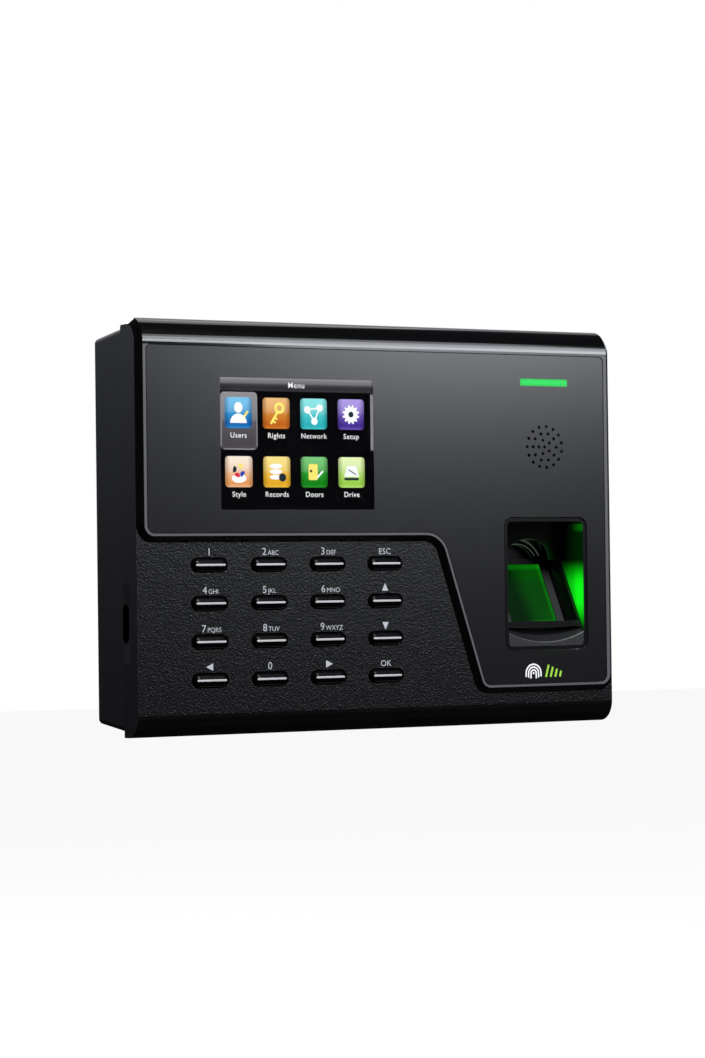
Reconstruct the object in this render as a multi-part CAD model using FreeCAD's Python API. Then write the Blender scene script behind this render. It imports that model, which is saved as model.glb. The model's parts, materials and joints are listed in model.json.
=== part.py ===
"""Wall-mounted fingerprint terminal: display, keypad, speaker and optical sensor in a two-part case.

Frame: +X to the right as seen from the front, +Y into the wall, +Z up, millimetres. The origin is the
centre of the wall-screw pattern on the wall plane. Depths are counted backwards from the fascia.
"""
import FreeCAD, Part
import math
import os

os.makedirs("parts", exist_ok=True)

# ---------------------------------------------------------------- driving dimensions: case
width = 203.0
height = 150.0
depth = 44.7
cover_depth = 13.4        # fascia to the parting line between the two case halves
step = 2.3                # keypad plane behind the fascia, and width of the glossy flank between them
hood_roll = 9.0           # radius of the top front edge
hood_back_roll = 3.5      # radius of the hood's rear top edge
foot_roll = 8.0           # radius of the bottom front edge
front_wall = 2.4          # wall behind the keypad plane
plateau_wall = 3.0        # fascia plus the wall behind it
side_wall = 3.0
rim_overlap = 1.9         # how far the rear half's outline laps the front half's opening
seam_gap = 0.15           # clearance of the locating rim in the front half
rim_depth = 3.0
rim_thickness = 1.6
shell_wall = 2.5
shell_inset_side = 0.5    # the rear half is this much smaller than the front half at the seam
shell_inset_top = 3.1
shell_inset_bottom = 1.8
shell_taper = 2.2         # each side draws in by this much on the way to the wall
shell_corner = 2.0
plate_gap = 1.8           # height of the wall plate's folded edge over its sheet
plate_sheet = 1.5

# ---------------------------------------------------------------- driving dimensions: front face
plateau_bottom = 71.8     # fascia's flank edge above the case's bottom, beside the keypad
plateau_low = 14.3        # the same edge under the sensor
shoulder_x = 23.2         # fascia's slanted edge at its top, right of the last key column
shoulder_run = 18.3       # how far that edge travels to the right on its way down
plateau_corner = 3.9
shoulder_radius = 8.7
rim_width = 1.15          # bright rim round the inlay, along its lower edges
rim_left = 1.4
rim_right = 1.7
inlay_thickness = 1.0
inlay_sunk = 0.05         # inlay lies this far behind the rim
inlay_gap = 0.3           # open joint between them
inlay_top_margin = 10.2   # inlay's top edge below the case's top
inlay_corner = 2.0
edge_break = 0.3          # bevel on the edges of the well and the key openings

window_size = (63.7, 47.8)
window_left = 33.0        # window's left edge from the case's left end
window_top = 21.0         # window's top edge from the case's top
light_size = (21.3, 2.8)
light_above_sensor = 51.5  # status light's middle above the sensor well's top edge
speaker_above_sensor = 27.0
speaker_hole_r = 0.62
speaker_ring_pitch = 2.61
well_size = (37.0, 50.0)
well_right = 12.5         # well's right edge from the case's right end
well_bottom = 28.1        # well's bottom edge from the case's bottom
well_corner = 3.3

# ---------------------------------------------------------------- driving dimensions: keypad
key_pitch = (24.36, 13.8)
key_size = (14.1, 4.55)
key_gap = 0.2
key_left = 29.0           # first key column from the case's left end
key_bottom = 20.0         # last key row from the case's bottom
key_proud = 1.4
key_ridge = 0.9           # width of the flat line along a key's top
key_flange = 1.2
key_flange_thickness = 0.8
key_travel = 1.0
key_play = 0.05
pad_margin = (9.6, 6.3)    # mat and board reach this far past the outer keys' middles
mat_sheet = 0.8
dome_spare = 1.3          # a dome stands this much higher than the key's travel
board_thickness = 1.6
key_rows = (("key_1", "key_2", "key_3", "key_esc"), ("key_4", "key_5", "key_6", "key_up"),
            ("key_7", "key_8", "key_9", "key_down"), ("key_left", "key_0", "key_right", "key_ok"))

# ---------------------------------------------------------------- driving dimensions: sensor
tilt = math.radians(29.4)  # the glass leans back from the vertical by this angle
cradle_foot = (0.8, 7.35)  # depth, and height over the well's bottom edge, where the cradle starts
bezel_recess = 0.4
bezel_wall = 1.2
bezel_depth = 25.0
roof_depth = 10.0
trough_depth = 6.2
trough_floor = 27.8
trough_mouth = 32.6
glass_size = (20.7, 25.4)
glass_frame_size = (27.3, 30.2)
glass_frame_thickness = 1.0
glass_start = 4.1         # frame's lower end along the cradle
prism_thickness = 9.0
arch_steps = ((11.7, 21.0), (9.6, 23.5))  # radius and depth of the two fingertip arches
fit_gap = 0.2
rest_edge_round = 0.45     # roundness of the finger rest's front edge
housing_depth = 11.0
housing_wall = 1.8

# ---------------------------------------------------------------- driving dimensions: inside and rear
lcd_size = (69.0, 53.0)
lcd_air = 0.25
lcd_thickness = 2.4
lcd_tray_rim = 3.2
lcd_tray_depth = 3.4
main_board_left = 22.0    # main board's left edge from the case's left end
main_board_right = 59.0   # its right edge from the case's right end
main_board_ends = 16.0    # its upper and lower edges from the case's top and bottom
main_board_rear = 11.3    # room behind the board for the connectors
bay_size = (84.0, 38.0)
bay_right = 79.5          # connector bay's right edge from the case's right end
bay_bottom = 19.0
terminal_pitch = 5.0
terminals = ((2.5, 6), (33.5, 4))  # each block's place in the bay, and its number of ways
case_screw_margin = (11.5, 14.0)
case_screw_r = 1.5
case_boss_r = 4.6
case_recess_r = 3.2
wall_hole_spacing = (160.0, 80.0)
wall_hole_r = 2.5
plate_margin = (13.5, 13.0)
hook_end = 29.5           # hooks' middle from each end of the case
hook_heights = (105.0, 18.0)   # and above its bottom
hook_width = 12.0
hook_rise = 5.0
lock_right = 61.5         # locking screw from the case's right end
lock_head_height = 6.2    # its head's seat above the case's bottom
vent_size = (1.6, 14.0)
vent_top = 23.0           # row of vents below the case's top
vent_pitch, vent_count = 5.0, 17
plate_window = (24.0, 18.0)    # openings that lighten the wall plate
plate_window_pitch = 36.0
plate_window_top = 37.0   # their middle below the case's top
usb_slot = (5.3, 14.1)    # slot's size across the case's depth and along its height
usb_above_bottom = 40.65
usb_depth = 12.35
usb_reach = 13.0
plunger_place = (30.0, 55.0)   # from the main board's left edge and from the case's top
plunger_r = 2.2
plunger_gap = 0.05
plunger_travel = 2.0
plunger_stem_grip = 0.8   # the stem's end reaches this far into the switch at rest
small_screw_r = 1.15
thread_gap = 0.03         # screws are plain rods in holes this much wider
hole_gap = 0.2            # screws pass through boards with this clearance

left, right = -width / 2, width / 2
top, bottom = height / 2, -height / 2
far = 60.0                # longer than any hole is deep


# ---------------------------------------------------------------- geometry helpers
def at(x, d, z):
    """A point given by its depth behind the fascia."""
    return FreeCAD.Vector(x, d - depth, z)


def outline(corners):
    """A closed wire through (point, radius) corners, each rounded by a tangent arc."""
    ends, arcs = [], []
    for i, (corner, radius) in enumerate(corners):
        back = (corners[i - 1][0] - corner).normalize()
        ahead = (corners[(i + 1) % len(corners)][0] - corner).normalize()
        if radius <= 0:
            ends.append((corner, corner))
            arcs.append(None)
            continue
        half = back.getAngle(ahead) / 2
        inward = (back + ahead).normalize()
        run = radius / math.tan(half)
        ends.append((corner + back * run, corner + ahead * run))
        arcs.append(corner + inward * (radius / math.sin(half) - radius))
    edges = []
    for i, (start, end) in enumerate(ends):
        if arcs[i] is not None:
            edges.append(Part.Arc(start, arcs[i], end).toShape())
        following = ends[(i + 1) % len(ends)][0]
        if end.distanceToPoint(following) > 1e-6:
            edges.append(Part.LineSegment(end, following).toShape())
    return Part.Wire(edges)


def front_outline(d, corners):
    """Outline on a plane of constant depth, from (x, z, radius) corners."""
    return outline([(at(x, d, z), r) for x, z, r in corners])


def side_outline(x, corners):
    """Outline on a plane of constant x, from (depth, z, radius) corners."""
    return outline([(at(x, d, z), r) for d, z, r in corners])


def fill(wire, vector):
    """The prism that a closed wire sweeps along a vector."""
    return Part.Face(wire).extrude(vector)


def back_by(wire, length):
    return fill(wire, FreeCAD.Vector(0, length, 0))


def across(x0, x1, corners):
    """A side profile extruded from x0 to x1."""
    return fill(side_outline(x0, corners), FreeCAD.Vector(x1 - x0, 0, 0))


def slab(x0, x1, d0, d1, z0, z1, radius=0.0):
    """A box between two depths, its four corners seen from the front rounded."""
    corners = [(x0, z0, radius), (x1, z0, radius), (x1, z1, radius), (x0, z1, radius)]
    return back_by(front_outline(d0, corners), d1 - d0)


def plate_at(x, z, size, d0, d1, radius=0.0):
    """A slab given by its middle and its (x, z) size."""
    return slab(x - size[0] / 2, x + size[0] / 2, d0, d1, z - size[1] / 2, z + size[1] / 2, radius)


def rod(x, z, radius, d0, d1):
    """A cylinder along the depth."""
    return Part.makeCylinder(radius, d1 - d0, at(x, d0, z), FreeCAD.Vector(0, 1, 0))


def cone(x, z, r0, r1, d0, d1):
    return Part.makeCone(r0, r1, d1 - d0, at(x, d0, z), FreeCAD.Vector(0, 1, 0))


def ruled(first, second):
    """The solid between two outlines with matching edges."""
    return Part.makeLoft([first, second], True, True)


def joined(shapes):
    shapes = list(shapes)
    result = shapes[0].multiFuse(shapes[1:]) if len(shapes) > 1 else shapes[0]
    return result.removeSplitter()


def without(shape, tools):
    return shape.cut(list(tools))


def save(node, *solids):
    """Write one node; several solids stay separate."""
    shape = solids[0] if len(solids) == 1 else Part.makeCompound(list(solids))
    shape.exportStep("parts/%s.step" % node)


def screw(x, z, radius, d_seat, length, head=1.85, rise=1.7, forward=True):
    """A pan-head screw along the depth with a cross recess; its shank runs forward or backward."""
    way = -1 if forward else 1
    shank = rod(x, z, radius, min(d_seat, d_seat + way * length), max(d_seat, d_seat + way * length))
    head_end = d_seat - way * rise
    low, high = min(d_seat, head_end), max(d_seat, head_end)
    body = shank.fuse(rod(x, z, head * radius, low, high))
    slot_low, slot_high = (high - rise / 2, high + 1) if forward else (low - 1, low + rise / 2)
    slots = [plate_at(x, z, size, slot_low, slot_high)
             for size in ((radius * 2, radius * 0.45), (radius * 0.45, radius * 2))]
    return without(body, slots)


# ---------------------------------------------------------------- places that several pieces share
wall_face = depth - plate_sheet            # front of the wall plate's sheet
shell_back = wall_face - plate_gap         # rear half's outer back face
shell_floor = shell_back - shell_wall      # its inner face
keypad_plane = step
keypad_inner = keypad_plane + front_wall
well_x = right - well_right - well_size[0] / 2
well_z = bottom + well_bottom + well_size[1] / 2
well_top = well_z + well_size[1] / 2
light_z = well_top + light_above_sensor
speaker_z = well_top + speaker_above_sensor
window_x = left + window_left + window_size[0] / 2
window_z = top - window_top - window_size[1] / 2
key_xs = [left + key_left + i * key_pitch[0] for i in range(4)]
key_zs = [bottom + key_bottom + (3 - i) * key_pitch[1] for i in range(4)]
case_screws = [(sx * (right - case_screw_margin[0]), sz * (top - case_screw_margin[1]))
               for sx in (-1, 1) for sz in (-1, 1)]
flange_front = keypad_inner + key_play
flange_rear = flange_front + key_flange_thickness
mat_dome = key_travel + dome_spare
mat_front = flange_rear + key_play + mat_dome
pad_board_front = mat_front + mat_sheet
pad_rear = pad_board_front + board_thickness
pad_span = (key_xs[-1] - key_xs[0] + 2 * pad_margin[0], key_zs[0] - key_zs[-1] + 2 * pad_margin[1])
pad_mid = ((key_xs[0] + key_xs[-1]) / 2, (key_zs[0] + key_zs[-1]) / 2)
pad_screws = [((key_xs[i] + key_xs[i + 1]) / 2, (key_zs[j] + key_zs[j + 1]) / 2)
              for i in (0, 2) for j in (0, 2)]
main_rear = shell_floor - main_board_rear
main_front = main_rear - board_thickness
main_left, main_right = left + main_board_left, right - main_board_right
main_screws = [(x, z) for x in (main_left + 5.0, main_right - 5.0) for z in (top - 21.0, bottom + 37.0)]
bay_x = right - bay_right - bay_size[0] / 2
bay_z = bottom + bay_bottom + bay_size[1] / 2
slot_z = bottom + usb_above_bottom
light_board_front = 5.4
light_screws = [(well_x + side * (light_size[0] / 2 + 2.9), light_z) for side in (-1, 1)]
lcd_front = inlay_thickness + lcd_air
tray_front = plateau_wall + 0.05
tray_size = (lcd_size[0] + 2 * lcd_tray_rim, lcd_size[1] + 2 * lcd_tray_rim)
lcd_screws = [(window_x + sx * (tray_size[0] / 2 + 2.2), window_z + sz * 16.0)
              for sx in (-1, 1) for sz in (-1, 1)]
plunger_x, plunger_z = main_left + plunger_place[0], top - plunger_place[1]
hook_x = right - hook_end
hook_zs = [bottom + height_up for height_up in hook_heights]
lock_x = right - lock_right
lock_depth = shell_floor - 5.0
lock_tab_z = bottom + 10.0
lock_seat = bottom + lock_head_height
case_seat = cover_depth + 4.0
usb_board_front = usb_depth + 3.0
usb_screws = [(left + side_wall + 14.5, slot_z + side * 11.0) for side in (-1, 1)]
usb_mouth = left + side_wall + rim_thickness + 0.3
rim_outer = (right - side_wall - seam_gap, top - shell_inset_top - rim_overlap - seam_gap,
             bottom + shell_inset_bottom + rim_overlap + seam_gap)
hood_base = top - 15.0    # the rolled hood starts here, above the flat fascia


def fascia_corners(grow, start_x, end_x):
    """Raised fascia's outline between two ends; grow moves its lower edges out from the rim's outer line."""
    low, foot = bottom + plateau_bottom - grow, bottom + plateau_low - grow
    slant_x = key_xs[-1] + shoulder_x
    lean = math.atan2(shoulder_run, plateau_bottom - plateau_low)
    shift = grow * (math.tan(lean) - 1 / math.cos(lean))
    corner = plateau_corner + grow
    return [(start_x, hood_base, 0), (start_x, low, corner), (slant_x + shift, low, shoulder_radius - grow),
            (slant_x + shoulder_run + shift, foot, corner), (end_x, foot, corner), (end_x, hood_base, 0)]


# ---------------------------------------------------------------- front case half
def hood_profile(x, inset):
    return side_outline(x, [(cover_depth, hood_base, 0), (inset, hood_base, 0),
                            (inset, top - inset, hood_roll - inset),
                            (cover_depth, top - inset, hood_back_roll - inset)])


def cover_skin():
    """Outer form: keypad level over the whole width, the raised fascia, and the rolled hood."""
    base = across(left, right, [(cover_depth, bottom, 0), (keypad_plane, bottom, foot_roll),
                                (keypad_plane, hood_base + 1, 0), (cover_depth, hood_base + 1, 0)])
    plateau = ruled(front_outline(keypad_plane, fascia_corners(step, left, right)),
                    front_outline(0, fascia_corners(0, left + step, right - step)))
    hood = fill(hood_profile(left + step, 0), FreeCAD.Vector(width - 2 * step, 0, 0))
    ends = [ruled(hood_profile(side * (right - step), 0), hood_profile(side * right, step))
            for side in (-1, 1)]
    return joined([base, plateau, hood] + ends)


def inlay_outline(d, grow):
    """The fascia inlay's edge, flush inside the bright rim."""
    rim = fascia_corners(grow - rim_width, left + step + rim_left - grow, right - step - rim_right + grow)
    inlay_top = top - inlay_top_margin + grow
    corners = [(rim[0][0], inlay_top, inlay_corner)] + rim[1:-1] + [(rim[-1][0], inlay_top, inlay_corner)]
    return front_outline(d, corners)


def speaker_holes(d0, d1):
    holes = [rod(well_x, speaker_z, speaker_hole_r, d0, d1)]
    for ring in (1, 2, 3):
        for i in range(5 * ring):
            a = math.pi + 2 * math.pi * i / (5 * ring)
            r = ring * speaker_ring_pitch
            holes.append(rod(well_x + r * math.cos(a), speaker_z + r * math.sin(a), speaker_hole_r, d0, d1))
    return holes


def stadium(x, z, size, d0, d1):
    """An oblong with round ends."""
    return plate_at(x, z, size, d0, d1, min(size) / 2 - 0.001)


def bevel_cut(x, z, size, radius, d, break_size):
    """The tool that bevels a rounded opening's front edge on the surface at depth d."""
    def ring(grow, depth_at):
        return front_outline(depth_at, [(x + sx * (size[0] / 2 + grow), z + sz * (size[1] / 2 + grow), radius + grow)
                                        for sx, sz in ((-1, -1), (1, -1), (1, 1), (-1, 1))])
    return ruled(ring(break_size + 0.1, d - 0.1), ring(0, d + break_size))


def usb_cut(extra=0.0):
    """The oblong slot through the left side, across the parting line."""
    half_d, half_z = usb_slot[0] / 2 + extra, usb_slot[1] / 2 + extra
    corners = [(usb_depth + sd * half_d, slot_z + sz * half_z, half_d - 0.001)
               for sd, sz in ((-1, -1), (1, -1), (1, 1), (-1, 1))]
    return across(left - 1, left + side_wall + rim_thickness + 2, corners)


def scoop():
    """The shallow thumb scoop round that slot."""
    reach, sink = 14.3, 0.5
    radius = (reach * reach + sink * sink) / (2 * sink)
    return rod(left - radius + sink, slot_z, radius, usb_depth - 4.2, usb_depth + 4.2)


def front_cover():
    body = cover_skin()
    inside_top = top - shell_inset_top - rim_overlap
    inside_bottom = bottom + shell_inset_bottom + rim_overlap
    hollow = slab(left + side_wall, right - side_wall, keypad_inner, cover_depth + 1, inside_bottom, inside_top, 1.5)
    behind_fascia = fascia_corners(-2.6, -right + side_wall + 2.0, right - side_wall - 2.0)
    behind_fascia = [(x, inside_top - 2.0 if z == hood_base else z, r) for x, z, r in behind_fascia]
    thinned = back_by(front_outline(plateau_wall, behind_fascia), keypad_inner - plateau_wall + 1)
    body = without(body, [hollow, thinned])
    bosses = [rod(x, z, case_boss_r, plateau_wall - 0.5, cover_depth) for x, z in case_screws]
    bosses += [rod(x, z, 2.6, keypad_inner - 0.5, pad_board_front) for x, z in pad_screws]
    bosses += [rod(x, z, 2.2, plateau_wall - 0.5, light_board_front) for x, z in light_screws]
    bosses += [rod(x, z, 1.9, plateau_wall - 0.5, tray_front + 2.4) for x, z in lcd_screws]
    speaker_ring = rod(well_x, speaker_z, 15.9, plateau_wall - 0.5, 7.0).cut(
        rod(well_x, speaker_z, 14.2, plateau_wall - 1, 8.0))
    body = joined([body, speaker_ring] + bosses)
    recess = back_by(inlay_outline(-1, inlay_gap), 1 + inlay_thickness)
    cuts = [recess, usb_cut(), scoop()]
    cuts += [rod(x, z, case_screw_r + thread_gap, 4.8, cover_depth + 1) for x, z in case_screws]
    cuts += [rod(x, z, small_screw_r + thread_gap, keypad_inner + 0.6, far) for x, z in pad_screws]
    cuts += [rod(x, z, small_screw_r + thread_gap, plateau_wall + 0.3, far) for x, z in light_screws + lcd_screws]
    cuts.append(plate_at(window_x, window_z, (lcd_size[0] + 0.5, lcd_size[1] + 0.5), 0, keypad_inner + 1))
    cuts.append(plate_at(well_x, light_z, (light_size[0] + fit_gap, light_size[1] + fit_gap), 0, far))
    cuts.append(plate_at(well_x, well_z, well_size, 0, far, well_corner))
    cuts.append(rod(well_x, speaker_z, 9.6, 0, far))
    slot = (key_size[0] + 2 * key_gap, key_size[1] + 2 * key_gap)
    cuts += [stadium(x, z, slot, 0, far) for x in key_xs for z in key_zs]
    cuts += [bevel_cut(x, z, slot, slot[1] / 2 - 0.001, keypad_plane, edge_break) for x in key_xs for z in key_zs]
    return without(body, cuts)


def fascia_panel():
    sheet = back_by(inlay_outline(inlay_sunk, 0), inlay_thickness - inlay_sunk)
    cuts = speaker_holes(-1, 2)
    cuts.append(plate_at(window_x, window_z, window_size, -1, 2, 0.6))
    cuts.append(plate_at(well_x, light_z, light_size, -1, 2, 0.3))
    cuts.append(plate_at(well_x, well_z, well_size, -1, 2, well_corner))
    cuts.append(bevel_cut(well_x, well_z, well_size, well_corner, inlay_sunk, edge_break))
    return without(sheet, cuts)


def status_light_guide():
    clear = fit_gap / 2
    bar = plate_at(well_x, light_z, (light_size[0] - clear, light_size[1] - clear), 2 * inlay_sunk, 3.5, 0.25)
    flange = plate_at(well_x, light_z, (light_size[0] + 0.8, light_size[1] + 2.4), plateau_wall + 0.05, 4.2)
    return joined([bar, flange])


save("front_cover", front_cover())
save("fascia_panel", fascia_panel())
save("display_window", plate_at(window_x, window_z, (window_size[0] - 0.2, window_size[1] - 0.2),
                                inlay_sunk, inlay_thickness, 0.5))
save("status_light_guide", status_light_guide())


# ---------------------------------------------------------------- rear case half
def shell_corners(draw, wall):
    """Rear half's section as (x, z, radius) corners; draw is how far the taper has come in."""
    x = right - shell_inset_side - draw - wall
    high = top - shell_inset_top - draw - wall
    low = bottom + shell_inset_bottom + draw + wall
    r = shell_corner
    return [(-x, low, r), (x, low, r), (x, high, r), (-x, high, r)]


def rim_ring(grow, d0, d1):
    """The rim that locates the rear half inside the front half."""
    x, high, low = rim_outer
    outer = slab(-x - grow, x + grow, d0, d1, low - grow, high + grow, 1.4)
    t = rim_thickness
    return outer.cut(slab(-x + t, x - t, d0 - 1, d1 + 1, low + t, high - t, 0.8))


def hook_slot(x, z):
    return slab(x - hook_width / 2 - 1, x + hook_width / 2 + 1, shell_floor - 1, shell_back + 1,
                z - 1.0, z + plate_sheet + 0.3)


def rear_cover():
    edge = 1.2
    skin = joined([ruled(front_outline(cover_depth, shell_corners(0, 0)),
                         front_outline(shell_back - edge, shell_corners(shell_taper, 0))),
                   ruled(front_outline(shell_back - edge, shell_corners(shell_taper, 0)),
                         front_outline(shell_back, shell_corners(shell_taper + edge, 0)))])
    hollow = ruled(front_outline(cover_depth, shell_corners(0, shell_wall)),
                   front_outline(shell_floor, shell_corners(shell_taper, shell_wall)))
    body = joined([skin.cut(hollow), rim_ring(0, cover_depth - rim_depth, cover_depth),
                   rim_ring(1.0, cover_depth, cover_depth + 2.0)])
    bosses = [rod(x, z, case_boss_r, cover_depth + 0.1, shell_floor + 1) for x, z in case_screws]
    bosses += [rod(x, z, 3.4, main_rear, shell_floor + 1) for x, z in main_screws]
    bosses += [rod(x, z, 2.8, usb_board_front + board_thickness, shell_floor + 1) for x, z in usb_screws]
    bosses.append(rod(plunger_x, plunger_z, plunger_r + 2.4, shell_floor - 1.0, shell_back))
    bosses.append(slab(lock_x - 5, lock_x + 5, lock_depth - 4.5, lock_depth + 4.5, bottom + 4.0, bottom + 8.0))
    body = joined([body] + bosses)
    clear_front = slab(left, right, 0, cover_depth + 0.1, bottom, top).cut(
        slab(-rim_outer[0] - 0.01, rim_outer[0] + 0.01, 0, cover_depth + 1, rim_outer[2] - 0.01,
             rim_outer[1] + 0.01))
    cuts = [usb_cut(), scoop(), clear_front]
    for x, z in case_screws:
        cuts.append(rod(x, z, case_recess_r, case_seat, far))
        cuts.append(rod(x, z, case_screw_r + 0.2, 0, far))
        cuts.append(rod(x, z, case_boss_r + 0.3, 0, cover_depth + 0.1))
    cuts += [rod(x, z, small_screw_r + thread_gap, 0, shell_floor - 1) for x, z in main_screws + usb_screws]
    cuts.append(plate_at(bay_x, bay_z, bay_size, shell_floor - 1, far, 3.0))
    cuts += [hook_slot(side * hook_x, z) for side in (-1, 1) for z in hook_zs]
    cuts.append(slab(lock_x - 8, lock_x + 8, shell_floor - 1, far, lock_tab_z - 0.8, lock_tab_z + plate_sheet + 0.8))
    cuts.append(rod(plunger_x, plunger_z, plunger_r + plunger_gap, shell_floor - 2, far))
    upward = FreeCAD.Vector(0, 0, 1)
    cuts.append(Part.makeCylinder(1.7, 20, at(lock_x, lock_depth, bottom - 5), upward))
    cuts.append(Part.makeCylinder(3.0, 10, at(lock_x, lock_depth, lock_seat - 10), upward))
    cuts += [stadium((i - (vent_count - 1) / 2) * vent_pitch, top - vent_top, vent_size, shell_floor - 1, far)
             for i in range(vent_count)]
    return without(body, cuts)


save("rear_cover", rear_cover())
save("cover_screws", *[screw(x, z, case_screw_r, case_seat, 11.5, rise=2.2) for x, z in case_screws])


# ---------------------------------------------------------------- wall plate
def hook(x, z):
    """A tab folded forward through the rear half, its lip turned up behind the shell's wall."""
    lip_rear = shell_floor - 0.2
    lip_front = lip_rear - plate_sheet
    profile = [(wall_face + 0.5, z, 0), (lip_front, z, 1.0), (lip_front, z + hook_rise, 0),
               (lip_rear, z + hook_rise, 0), (lip_rear, z + plate_sheet, 0), (wall_face + 0.5, z + plate_sheet, 0)]
    return across(x - hook_width / 2, x + hook_width / 2, profile)


def wall_plate():
    half = (right - plate_margin[0], top - plate_margin[1])
    tray = slab(-half[0], half[0], shell_back, depth, -half[1], half[1], 3.0)
    sheet = plate_sheet
    tray = tray.cut(slab(-half[0] + sheet, half[0] - sheet, shell_back - 1, wall_face,
                         -half[1] + sheet, half[1] - sheet, 1.6))
    hooks = [hook(side * hook_x, z) for side in (-1, 1) for z in hook_zs]
    tab = slab(lock_x - 6, lock_x + 6, lock_depth - 4, depth, lock_tab_z, lock_tab_z + sheet)
    stem = slab(lock_x - 6, lock_x + 6, wall_face, depth, lock_tab_z, -half[1] + 1)
    plate = joined([tray, stem, tab] + hooks)
    sx, sz = wall_hole_spacing[0] / 2, wall_hole_spacing[1] / 2
    cuts = [plate_at(bay_x, bay_z, (bay_size[0] + 4, bay_size[1] + 4), wall_face - 1, far, 4.0)]
    for x, z in ((-sx, -sz), (sx, -sz), (-sx, sz), (sx, sz)):
        cuts.append(rod(x, z, wall_hole_r, 0, far))
        cuts.append(cone(x, z, wall_hole_r + 1.9, wall_hole_r, wall_face - 0.001, wall_face + 0.9))
    cuts.append(rod(plunger_x, plunger_z, plunger_r + 1.2, wall_face - 1, far))
    cuts += [plate_at(i * plate_window_pitch, top - plate_window_top, plate_window, wall_face - 1, far, 3.0)
             for i in (-1, 0, 1)]
    cuts.append(Part.makeCylinder(case_screw_r + 0.05, 20, at(lock_x, lock_depth, lock_tab_z - 8),
                                  FreeCAD.Vector(0, 0, 1)))
    return without(plate, cuts)


def lock_screw():
    """The screw from below that keeps the case on its hooks."""
    upward = FreeCAD.Vector(0, 0, 1)
    head = Part.makeCylinder(2.8, 2.0, at(lock_x, lock_depth, lock_seat - 2.0), upward)
    shank = Part.makeCylinder(case_screw_r, lock_tab_z + plate_sheet + 1 - lock_seat,
                              at(lock_x, lock_depth, lock_seat), upward)
    socket = Part.makeCylinder(1.2, 1.2, at(lock_x, lock_depth, lock_seat - 2.2), upward)
    return head.fuse(shank).cut(socket)


save("wall_plate", wall_plate())
save("plate_lock_screw", lock_screw())


# ---------------------------------------------------------------- display
def lcd_tray():
    outer = plate_at(window_x, window_z, tray_size, tray_front, tray_front + lcd_tray_depth, 1.0)
    pocket = plate_at(window_x, window_z, (lcd_size[0] + 0.4, lcd_size[1] + 0.4), tray_front - 1,
                      tray_front + lcd_tray_depth - 0.6)
    ears = [plate_at(x, z, (6.4, 6.0), tray_front + 2.4, tray_front + lcd_tray_depth, 1.0)
            for x, z in lcd_screws]
    holes = [rod(x, z, small_screw_r + hole_gap, 0, far) for x, z in lcd_screws]
    return without(joined([outer] + ears), [pocket] + holes)


save("lcd_panel", plate_at(window_x, window_z, lcd_size, lcd_front, lcd_front + lcd_thickness))
save("lcd_backlight", plate_at(window_x, window_z, (lcd_size[0] - 1, lcd_size[1] - 1),
                               lcd_front + lcd_thickness + 0.05, tray_front + lcd_tray_depth - 0.65))
save("lcd_tray", lcd_tray())


def bent_strip(x, half_width, start, end, radius, thickness=0.3):
    """A flat cable in the depth-height plane: it leaves start downwards and reaches end backwards."""
    (d0, z0), (d1, z1) = start, end
    inner = radius - thickness
    corners = [(d0, z0, 0), (d0, z1, radius), (d1, z1, 0), (d1, z1 + thickness, 0),
               (d0 + thickness, z1 + thickness, inner), (d0 + thickness, z0, 0)]
    return across(x - half_width, x + half_width, corners)


lcd_rear = tray_front + lcd_tray_depth
save("lcd_ribbon", bent_strip(window_x, 9.0, (lcd_rear + 0.6, window_z - 0.6),
                             (main_front - 2.2, window_z - 18.0), 8.0))


# ---------------------------------------------------------------- keypad
def key(x, z):
    """A bar key with a crowned roof and a narrow flat ridge; its flange stops behind the cover."""
    half = key_size[1] / 2
    roof_foot = keypad_plane + 0.1
    lower = stadium(x, z, key_size, roof_foot, flange_front + 0.1)
    ridge = (key_size[0] - key_size[1] + key_ridge, key_ridge)
    apex = keypad_plane - key_proud
    mid_size = (key_size[0] - half * 0.62, key_size[1] - half * 0.62)
    mid_d = apex + 0.36 * (roof_foot - apex)

    def ring(size, d):
        r = size[1] / 2 - 0.001
        return front_outline(d, [(x + sx * size[0] / 2, z + sz * size[1] / 2, r)
                                 for sx, sz in ((-1, -1), (1, -1), (1, 1), (-1, 1))])
    roof = [ruled(ring(key_size, roof_foot), ring(mid_size, mid_d)), ruled(ring(mid_size, mid_d), ring(ridge, apex))]
    flange = stadium(x, z, (key_size[0] + 2 * key_flange, key_size[1] + 2 * key_flange), flange_front, flange_rear)
    return joined([lower, flange] + roof)


def key_mat():
    """Silicone sheet with one hollow dome under each key."""
    sheet = plate_at(pad_mid[0], pad_mid[1], pad_span, mat_front, mat_front + mat_sheet, 2.0)
    domes = [cone(x, z, 2.4, 3.4, mat_front - mat_dome, mat_front + 0.2) for x in key_xs for z in key_zs]
    hollows = [cone(x, z, 1.5, 2.6, mat_front - mat_dome + 0.9, mat_front + mat_sheet + 0.001)
               for x in key_xs for z in key_zs]
    holes = [rod(x, z, 3.0, 0, far) for x, z in pad_screws]
    return without(joined([sheet] + domes), hollows + holes)


def keypad_board():
    board = plate_at(pad_mid[0], pad_mid[1], pad_span, pad_board_front, pad_rear, 1.0)
    return without(board, [rod(x, z, small_screw_r + hole_gap, 0, far) for x, z in pad_screws])


for names, z in zip(key_rows, key_zs):
    for name, x in zip(names, key_xs):
        save(name, key(x, z))
save("key_mat", key_mat())
save("keypad_board", keypad_board())
pad_cable_x = (key_xs[0] + key_xs[1]) / 2 + 12.0
save("keypad_ribbon", bent_strip(pad_cable_x, 6.0, (pad_rear + 0.6, key_zs[1]), (main_front - 2.2, key_zs[2]), 7.0))


# ---------------------------------------------------------------- fingerprint sensor
cradle_z = bottom + well_bottom + cradle_foot[1]


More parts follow.
